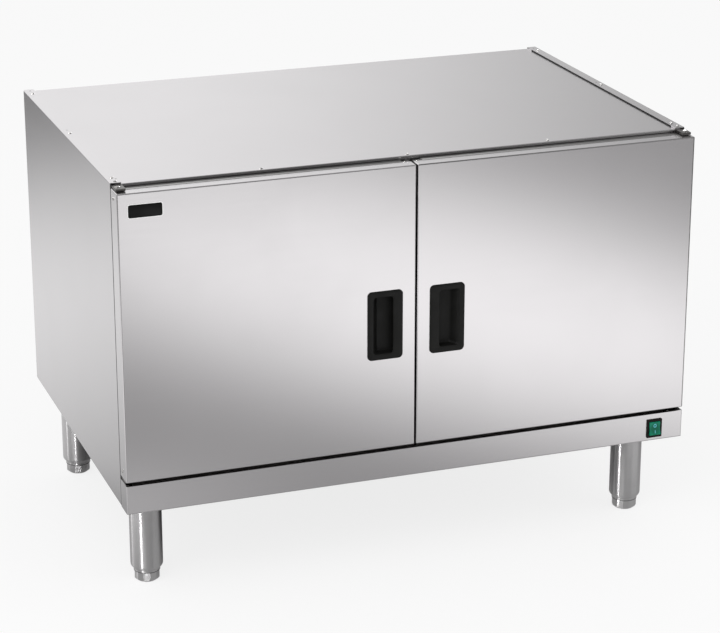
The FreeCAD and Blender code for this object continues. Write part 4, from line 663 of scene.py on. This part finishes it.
def softened_copy(node, name, finish, body, width, limit=30.0, sharp=35.0):
    """A copy of a CAD node with its doubles merged, its flat faces joined and its edges eased."""
    shape = bmesh.new()
    shape.from_mesh(nodes[node].data)
    bmesh.ops.remove_doubles(shape, verts=list(shape.verts), dist=MERGE_DISTANCE)
    bmesh.ops.dissolve_limit(
        shape,
        angle_limit=FLAT_ANGLE,
        verts=list(shape.verts),
        edges=list(shape.edges),
    )
    edges = [
        e for e in shape.edges
        if len(e.link_faces) == 2 and e.calc_face_angle(0.0) > math.radians(limit)
    ]
    round_off(shape, edges, width, EDGE_STEPS, clamp=True)
    return dress(shape, name, finish, body, (node,), sharp)


# The badge's corner radius and eased edge, and its rim's width, lap over the plate and thickness
BADGE_CORNER = 0.0028
BADGE_EDGE = 0.00025
BADGE_RIM = 0.0009
BADGE_RIM_LAP = 0.0001
BADGE_RIM_THICKNESS = 0.0005


def blank_badge():
    """A plain dark badge with rounded corners, in a thin pale rim."""
    low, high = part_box("badge_plate")
    half_across, half_up = (high.x - low.x) / 2, (high.z - low.z) / 2
    middle = Vector(((low.x + high.x) / 2, 0.0, (low.z + high.z) / 2))
    plate, face = rounded_face(half_across, half_up, BADGE_CORNER)
    made = bmesh.ops.extrude_face_region(plate, geom=[face])
    fronts = [v for v in made["geom"] if isinstance(v, bmesh.types.BMVert)]
    bmesh.ops.translate(plate, vec=(0.0, low.y - high.y, 0.0), verts=fronts)
    edges = [e for e in plate.edges if all(v in fronts for v in e.verts)]
    round_off(plate, edges, BADGE_EDGE, EDGE_STEPS)
    lift = middle + Vector((0.0, high.y, 0.0))
    bmesh.ops.translate(plate, vec=lift, verts=list(plate.verts))
    dress(plate, "badge", "badge_enamel", "left_door", ("badge_plate",))
    rim, face = rounded_face(
        half_across + BADGE_RIM,
        half_up + BADGE_RIM,
        BADGE_CORNER + BADGE_RIM,
    )
    width = BADGE_RIM + BADGE_RIM_LAP
    bmesh.ops.inset_individual(rim, faces=[face], thickness=width, depth=0.0)
    bmesh.ops.delete(rim, geom=[face], context="FACES")
    bmesh.ops.recalc_face_normals(rim, faces=list(rim.faces))
    bmesh.ops.solidify(rim, geom=list(rim.faces), thickness=BADGE_RIM_THICKNESS)
    nearest = max(v.co.y for v in rim.verts)
    lift = middle + Vector((0.0, high.y - nearest, 0.0))
    bmesh.ops.translate(rim, vec=lift, verts=list(rim.verts))
    dress(rim, "badge_rim", "rule_paint", "left_door")


# The rocker's face in its own frame: how far it stands out at its ends and at its middle, its
# half height, its tilt at rest and the slope of each half
ROCKER_TIP = 0.0046
ROCKER_DIP = 0.0024
ROCKER_HALF = 0.011
ROCKER_TILT = math.radians(-8.0)
ROCKER_FACE_SLOPE = math.atan2(ROCKER_TIP - ROCKER_DIP, ROCKER_HALF)

# The marks on the rocker: their thickness, how far they stand out of its face, the ring's
# segments, radius, width, stretch and height over the axle, and the bar's half sizes, its
# corner radius with its steps, and its height
MARK_THICKNESS = 0.00008
MARK_PROUD = 0.00012
RING_SEGMENTS = 40
RING_RADIUS = 0.0031
RING_WIDTH = 0.0014
RING_STRETCH = (0.88, 1.0, 1.04)
RING_UP = 0.0045
BAR_HALF_ACROSS = 0.0006
BAR_HALF_UP = 0.0024
BAR_CORNER = 0.0003
BAR_STEPS = 3
BAR_UP = -0.0052


def rocker_mark(shape, name, up):
    """Thickens a flat mark and lays it on the upper or lower half of the rocker's face."""
    bmesh.ops.solidify(shape, geom=list(shape.faces), thickness=MARK_THICKNESS)
    pivot = Vector([j["pos_m"] for j in frame["joints"] if j["name"] == "switch_rocker_tilt"][0])
    slope = ROCKER_FACE_SLOPE if up > 0 else -ROCKER_FACE_SLOPE
    out = ROCKER_DIP + abs(up) * math.tan(ROCKER_FACE_SLOPE) + MARK_PROUD
    place = (
        Matrix.Translation(pivot)
        @ Matrix.Rotation(ROCKER_TILT, 4, "X")
        @ Matrix.Translation((0.0, -out, up))
        @ Matrix.Rotation(slope, 4, "X")
    )
    bmesh.ops.transform(shape, matrix=place, verts=list(shape.verts))
    dress(shape, name, "mark_paint", "rocker")


def rocker_marks():
    """The off ring on the upper half of the rocker and the on bar on its lower half."""
    ring = bmesh.new()
    made = bmesh.ops.create_circle(
        ring,
        cap_ends=True,
        segments=RING_SEGMENTS,
        radius=RING_RADIUS,
        matrix=UPRIGHT,
    )
    face = made["verts"][0].link_faces[0]
    bmesh.ops.inset_individual(ring, faces=[face], thickness=RING_WIDTH, depth=0.0)
    bmesh.ops.delete(ring, geom=[face], context="FACES")
    bmesh.ops.scale(ring, vec=RING_STRETCH, verts=list(ring.verts))
    rocker_mark(ring, "rocker_off_mark", RING_UP)
    bar = rounded_face(BAR_HALF_ACROSS, BAR_HALF_UP, BAR_CORNER, BAR_STEPS)[0]
    rocker_mark(bar, "rocker_on_mark", BAR_UP)


# The share of a strip's depth or rise that its rounded edges take
STRIP_EDGE = 0.4

# A dark strip of painted shade along a flange's inner edge: its depth, how far it stays under the
# flange's top, how much shorter than the side panel it is, how far forward of the panel's middle it
# lies, and its edges' steps
FLANGE_SHADE_DEPTH = 0.0004
FLANGE_SHADE_UNDER_TOP = 0.0004
FLANGE_SHADE_SHORTER = 0.034
FLANGE_SHADE_FORWARD = 0.002
FLANGE_SHADE_STEPS = 3


def flange_shade_strips():
    """A dark strip where each side panel's flange meets the top sheet: painted shade of the gap
    under the flange's edge.
    """
    sheet_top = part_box("top_panel")[1].z
    for side in ("left", "right"):
        low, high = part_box(f"{side}_side_panel")
        edge = low.x if side == "right" else high.x
        inward = -1.0 if side == "right" else 1.0
        rise = high.z - FLANGE_SHADE_UNDER_TOP - sheet_top
        size = (FLANGE_SHADE_DEPTH, high.y - low.y - FLANGE_SHADE_SHORTER, rise)
        middle = (
            edge + inward * FLANGE_SHADE_DEPTH / 2,
            (low.y + high.y) / 2 - FLANGE_SHADE_FORWARD,
            sheet_top + rise / 2,
        )
        shape = rounded_strip(middle, size, FLANGE_SHADE_DEPTH * STRIP_EDGE, FLANGE_SHADE_STEPS)
        dress(shape, f"{side}_flange_shade_strip", "shadow_strip_black", "cabinet")


# The strip on a door's top: its width, its rise over the skin, and its distance from the skin's
# free end, from the hinge plate and from the back, then the width and rise of the dark line of
# painted shade at its joint with the skin
HEM_WIDTH = 0.0125
HEM_RISE = 0.00025
HEM_FREE_END = 0.0145
HEM_PLATE_GAP = 0.002
HEM_BACK_GAP = 0.0005
HEM_SHADE_LINE_WIDTH = 0.0007
HEM_SHADE_LINE_RISE = 0.0001


def door_hem(side):
    """The strip on the inner panel's top flange, in steel darkened as painted shade, and a dark
    line of painted shade between it and the skin.
    """
    low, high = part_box(f"{side}_door_outer_skin")
    inner_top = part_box(f"{side}_door_inner_panel")[1].z
    plate_low, plate_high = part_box(f"{side}_top_hinge_plate")
    start = plate_high.x + HEM_PLATE_GAP if side == "left" else low.x + HEM_FREE_END
    end = high.x - HEM_FREE_END if side == "left" else plate_low.x - HEM_PLATE_GAP
    back = high.y - HEM_BACK_GAP
    joint = back - HEM_WIDTH
    front = joint - HEM_SHADE_LINE_WIDTH
    for name, finish, slot, near, far, foot, rise in (
        ("hem", "shaded_hem_steel", "outer_stainless", joint, back, inner_top, HEM_RISE),
        ("hem_shade_line", "shadow_strip_black", "gland_black", front, joint, high.z, HEM_SHADE_LINE_RISE),
    ):
        tall = high.z + rise - foot
        size = (end - start, far - near, tall)
        middle = ((start + end) / 2, (near + far) / 2, foot + tall / 2)
        shape = rounded_strip(middle, size, rise * STRIP_EDGE)
        dress(shape, f"{side}_door_{name}", finish, f"{side}_door")


# The gland's ribbed grip: its radius and length, its number of ribs, how far they are inset
# from the faces they stand on, their height, and the thickness of its shell
GRIP_RADIUS = 0.011
GRIP_LENGTH = 0.0045
GRIP_RIBS = 20
GRIP_RIB_INSET = 0.0002
GRIP_RIB_HEIGHT = 0.0006
GRIP_THICKNESS = 0.0003


def gland_grip():
    """The ribbed grip round the cable gland's cap."""
    low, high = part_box("cable_gland")
    shape = bmesh.new()
    bmesh.ops.create_cone(
        shape,
        cap_ends=False,
        segments=2 * GRIP_RIBS,
        radius1=GRIP_RADIUS,
        radius2=GRIP_RADIUS,
        depth=GRIP_LENGTH,
        matrix=UPRIGHT,
    )
    centres = {face: face.calc_center_median() for face in shape.faces}
    sides = sorted(centres, key=lambda face: math.atan2(centres[face].z, centres[face].x))
    bmesh.ops.inset_individual(
        shape,
        faces=sides[::2],
        thickness=GRIP_RIB_INSET,
        depth=GRIP_RIB_HEIGHT,
    )
    bmesh.ops.solidify(shape, geom=list(shape.faces), thickness=GRIP_THICKNESS)
    back = high.y - GRIP_RIB_HEIGHT
    middle = ((low.x + high.x) / 2, back - GRIP_LENGTH / 2, (low.z + high.z) / 2)
    bmesh.ops.translate(shape, vec=middle, verts=list(shape.verts))
    dress(shape, "gland_grip", "switch_plastic", "cabinet", sharp=30.0)


# A leg's section: the neck's radius, the wall, the shoulder's height, how far from their
# corners the bends at the shoulder, the neck and the mouth start, their steps, the stud hole's
# radius, and the steps of the turn
LEG_NECK = 0.0202
LEG_WALL = 0.0015
LEG_SHOULDER_TOP = 0.025
LEG_SHOULDER_BEND = 0.0029
LEG_NECK_BEND = 0.001
LEG_MOUTH_BEND = 0.0004
LEG_BEND_STEPS = 5
LEG_STUD_HOLE = 0.0052
LEG_STEPS = 72


def turned_leg(corner):
    """A leg spun from the section of its wall, with a rounded shoulder and a narrowed neck."""
    node = f"{corner}_leg"
    low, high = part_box(node)
    outside = (high.x - low.x) / 2
    slope = outside - LEG_NECK
    shape = bmesh.new()
    section = [
        shape.verts.new((across, 0.0, up))
        for across, up in (
            (LEG_NECK - LEG_WALL, low.z),
            (LEG_NECK, low.z),
            (LEG_NECK, LEG_SHOULDER_TOP - slope),
            (outside, LEG_SHOULDER_TOP),
            (outside, high.z),
            (LEG_STUD_HOLE, high.z),
            (LEG_STUD_HOLE, high.z - 2 * LEG_WALL),
            (outside - LEG_WALL, high.z - 2 * LEG_WALL),
            (outside - LEG_WALL, LEG_SHOULDER_TOP + LEG_WALL / 2),
            (LEG_NECK - LEG_WALL, LEG_SHOULDER_TOP - slope + LEG_WALL / 2),
        )
    ]
    shape.faces.new(section)
    mouth, neck, shoulder = section[1:4]
    for point, offset in (
        (shoulder, LEG_SHOULDER_BEND),
        (neck, LEG_NECK_BEND),
        (mouth, LEG_MOUTH_BEND),
    ):
        round_off(shape, [point], offset, LEG_BEND_STEPS, "VERTICES")
    bmesh.ops.delete(shape, geom=list(shape.faces), context="FACES_ONLY")
    bmesh.ops.spin(
        shape,
        geom=list(shape.verts) + list(shape.edges),
        cent=(0.0, 0.0, 0.0),
        axis=(0.0, 0.0, 1.0),
        angle=math.tau,
        steps=LEG_STEPS,
        use_merge=True,
    )
    bmesh.ops.remove_doubles(shape, verts=list(shape.verts), dist=MERGE_DISTANCE)
    middle = ((low.x + high.x) / 2, (low.y + high.y) / 2, 0.0)
    bmesh.ops.translate(shape, vec=middle, verts=list(shape.verts))
    name = f"{corner}_turned_leg"
    return dress(shape, name, "turned_steel", "cabinet", (node,), sharp=25.0)


# The widths of the eased edges, and the angle in degrees from which a foot's edges are sharp
SWITCH_EDGE = 0.0004
FOOT_EDGE = 0.001
FOOT_SHARP = 20.0

for door_side in ("left", "right"):
    flush_pull(door_side)
    door_hem(door_side)
blank_badge()
softened_copy("switch_rocker", "rocker_cap", "rocker_green", "rocker", SWITCH_EDGE)
rocker_marks()
softened_copy(
    "switch_housing",
    "switch_body",
    "switch_plastic",
    "cabinet",
    SWITCH_EDGE,
)
flange_shade_strips()
gland_grip()
legs = {}
feet = {}
for corner in ("front_left", "front_right", "rear_left", "rear_right"):
    legs[corner] = turned_leg(corner)
    feet[corner] = softened_copy(
        f"{corner}_foot",
        f"{corner}_turned_foot",
        "turned_steel",
        f"{corner}_foot",
        FOOT_EDGE,
        limit=FOOT_SHARP,
        sharp=FOOT_SHARP,
    )


# Room: what the metal mirrors, the floor, the lamps and the camera

def soft_patch(shader, vector, centre, spread, turn, core):
    """A smooth patch around a place: 1 within its core, a share of its spread, and 0 outside."""
    ball = shader.ball(vector, centre, spread, math.radians(turn))
    edge = shader.add(
        "ShaderNodeMapRange",
        {"interpolation_type": "SMOOTHSTEP"},
        Value=ball,
        From_Max=1.0 - core,
    )
    return edge.outputs[0]


def blended_light(shader, vector, level, patches):
    """An even level with brighter and darker patches laid over it."""
    light = level
    for centre, spread, turn, core, patch_level in patches:
        share = soft_patch(shader, vector, centre, spread, turn, core)
        light = shader.mix_value(share, light, patch_level)
    return light


# Patches of the studio floor that the metal mirrors, brighter and darker patches of painted light,
# the last a painted shadow under the cabinet: centre, spread, turn in degrees, core, level
FLOOR_LEVEL = 0.366
FLOOR_PATCHES = (
    ((-0.46, 1.12, 0.0), (1.5, 2.84, 1.0), 77.4, 0.0, 0.892),
    ((-0.14, 4.59, 0.0), (4.0, 2.79, 1.0), 0.0, 0.41, 0.19),
    ((-1.5, -0.5, 0.0), (1.1, 1.3, 1.0), 0.0, 0.2, 1.8),
    ((0.4, -1.755, 0.0), (2.21, 0.876, 1.0), 62.3, 0.25, 1.3),
    ((1.75, 0.3, 0.0), (1.25, 1.25, 1.0), 0.0, 0.5, 0.03),
    ((-0.45, -0.68, 0.0), (0.5, 0.32, 1.0), 0.0, 0.0, 0.56),
    ((0.0, 0.06, 0.0), (0.62, 0.4, 1.0), 0.0, 0.55, 0.03),
)

# Patches of the studio walls, placed as directions, in the same order
WALL_LEVEL = 0.36
WALL_PATCHES = (
    ((-0.45, 0.83, 0.26), (0.98, 0.98, 0.98), 0.0, 0.7, 1.02),
    ((0.62, -0.74, 0.27), (0.8, 0.8, 0.8), 0.0, 0.25, 0.03),
)

# How white the backdrop looks, and how strongly the room lights matt surfaces
BACKDROP_LEVEL = 1.0
MATT_LEVEL = 0.75


def studio_world():
    """A room that looks white, lights matt surfaces evenly and shows its patches in the metal."""
    world = bpy.data.worlds.new("studio")
    world.use_nodes = True
    world.node_tree.nodes.clear()
    shader = Shader(world.node_tree)
    direction = shader.add("ShaderNodeTexCoord").outputs["Generated"]
    walls = blended_light(shader, direction, WALL_LEVEL, WALL_PATCHES)
    mirrored, seen, matt = (
        shader.add("ShaderNodeBackground", Color=(1.0, 1.0, 1.0, 1.0), Strength=strength)
        for strength in (walls, BACKDROP_LEVEL, MATT_LEVEL)
    )
    path = shader.add("ShaderNodeLightPath").outputs
    lit = shader.mix_shader(path["Is Glossy Ray"], matt.outputs[0], mirrored.outputs[0])
    looked_at = shader.math("MAXIMUM", path["Is Camera Ray"], path["Is Transmission Ray"])
    final = shader.mix_shader(looked_at, lit, seen.outputs[0])
    shader.add("ShaderNodeOutputWorld", Surface=final)
    bpy.context.scene.world = world


# The floor's half size, its paper, and the share of its look that is plain white
FLOOR_HALF_SIZE = 14.0
FLOOR_PAPER = (0.9, 0.9, 0.9, 1.0)
FLOOR_WHITE_SHARE = 0.8


def studio_floor():
    """A pale floor that keeps a faint shadow, and whose patches the metal mirrors."""
    mesh = bpy.data.meshes.new("floor")
    shape = bmesh.new()
    bmesh.ops.create_grid(shape, x_segments=2, y_segments=2, size=FLOOR_HALF_SIZE)
    shape.to_mesh(mesh)
    shape.free()
    floor = bpy.data.objects.new("floor", mesh)
    bpy.context.scene.collection.objects.link(floor)
    material = bpy.data.materials.new("floor_paper")
    material.use_nodes = True
    material.node_tree.nodes.clear()
    shader = Shader(material.node_tree)
    place = shader.add("ShaderNodeTexCoord").outputs["Object"]
    patches = blended_light(shader, place, FLOOR_LEVEL, FLOOR_PATCHES)
    paper = shader.add("ShaderNodeBsdfDiffuse", Color=FLOOR_PAPER)
    white = shader.add("ShaderNodeEmission", Strength=1.0)
    mirrored = shader.add("ShaderNodeEmission", Strength=patches)
    path = shader.add("ShaderNodeLightPath").outputs
    looked_at = shader.math("MULTIPLY", path["Is Camera Ray"], FLOOR_WHITE_SHARE)
    seen = shader.mix_shader(looked_at, paper.outputs[0], white.outputs[0])
    final = shader.mix_shader(path["Is Glossy Ray"], seen, mirrored.outputs[0])
    shader.add("ShaderNodeOutputMaterial", Surface=final)
    mesh.materials.append(material)


def softbox(name, place, aim, width, height, power, gloss_for=()):
    """An area lamp turned towards a point. With pieces named, it only shows as gloss on them."""
    lamp = bpy.data.lights.new(name, "AREA")
    lamp.shape = "RECTANGLE"
    lamp.size = width
    lamp.size_y = height
    lamp.energy = power
    holder = bpy.data.objects.new(name, lamp)
    holder.location = place
    holder.rotation_euler = (Vector(aim) - Vector(place)).to_track_quat("-Z", "Y").to_euler()
    holder.visible_camera = False
    bpy.context.scene.collection.objects.link(holder)
    if gloss_for:
        holder.visible_diffuse = False
        lit = bpy.data.collections.new(name)
        for piece in gloss_for:
            lit.objects.link(piece)
        holder.light_linking.receiver_collection = lit


# The camera that fits the photo best: its place, its angles and its lens in millimetres
CAMERA_PLACE = (-1.2377, -3.4965, 1.6202)
CAMERA_AZIMUTH = math.radians(19.77)
CAMERA_ELEVATION = math.radians(19.53)
CAMERA_LENS = 122.3
CAMERA_SENSOR = 36.0
CAMERA_FAR_CLIP = 60.0


def photo_camera():
    camera = bpy.data.cameras.new("photo_camera")
    camera.lens = CAMERA_LENS
    camera.sensor_width = CAMERA_SENSOR
    camera.clip_end = CAMERA_FAR_CLIP
    holder = bpy.data.objects.new("photo_camera", camera)
    holder.location = CAMERA_PLACE
    holder.rotation_euler = (math.pi / 2 - CAMERA_ELEVATION, 0.0, -CAMERA_AZIMUTH)
    bpy.context.scene.collection.objects.link(holder)
    bpy.context.scene.camera = holder


def leg_pieces(side):
    """The legs and feet on one side of the cabinet."""
    return [pieces[f"{end}_{side}"] for pieces in (legs, feet) for end in ("front", "rear")]


studio_world()
studio_floor()
all_feet = list(feet.values())
domed_rivets = [nodes[f"{place}_rivets"] for place in ("top", "left_door", "right_door")]
rivets = [*domed_rivets, nodes["cabinet_screws"], nodes["hinge_pins"]]

# Where the lamps aim: at the body, the legs, and the rivets on the top and its lip
BODY_MIDDLE = (0.0, 0.0, 0.35)
LEFT_LEG = (-0.4, -0.208, 0.17)
LEFT_SIDE_LEGS = (-0.4, 0.0, 0.17)
RIGHT_LEG = (0.4, -0.208, 0.1)
TOP_MIDDLE = (0.0, 0.0, 0.64)
TOP_LIP = (0.0, -0.26, 0.64)

# Each lamp's place, aim, width, height, power in watts and the pieces that it gives its gloss
softbox("key_softbox", (-2.6, -2.6, 3.0), BODY_MIDDLE, 2.8, 2.8, 60.0)
softbox("fill_softbox", (3.0, -2.4, 2.2), BODY_MIDDLE, 3.6, 3.6, 25.0)
softbox("leg_strip_light", (-0.9, -0.67, 0.17), LEFT_LEG, 0.06, 0.34, 1.6, leg_pieces("left"))
softbox("right_leg_light", (-0.25, -0.46, 0.1), RIGHT_LEG, 0.05, 0.2, 1.1, leg_pieces("right"))
softbox(
    "leg_side_light",
    (-1.2, 0.26, 0.17),
    LEFT_SIDE_LEGS,
    0.08,
    0.34,
    0.5,
    [*legs.values(), *all_feet],
)
softbox("foot_light", (-0.73, -1.36, 0.15), LEFT_LEG, 0.3, 0.3, 2.0, all_feet)
softbox("rivet_light", (1.9, 3.4, 1.5), TOP_MIDDLE, 1.2, 1.2, 55.0, rivets)
softbox("dome_light", (-1.78, 0.82, 2.8), TOP_LIP, 0.9, 0.9, 90.0, domed_rivets)
photo_camera()
bpy.context.scene.view_settings.view_transform = "Standard"
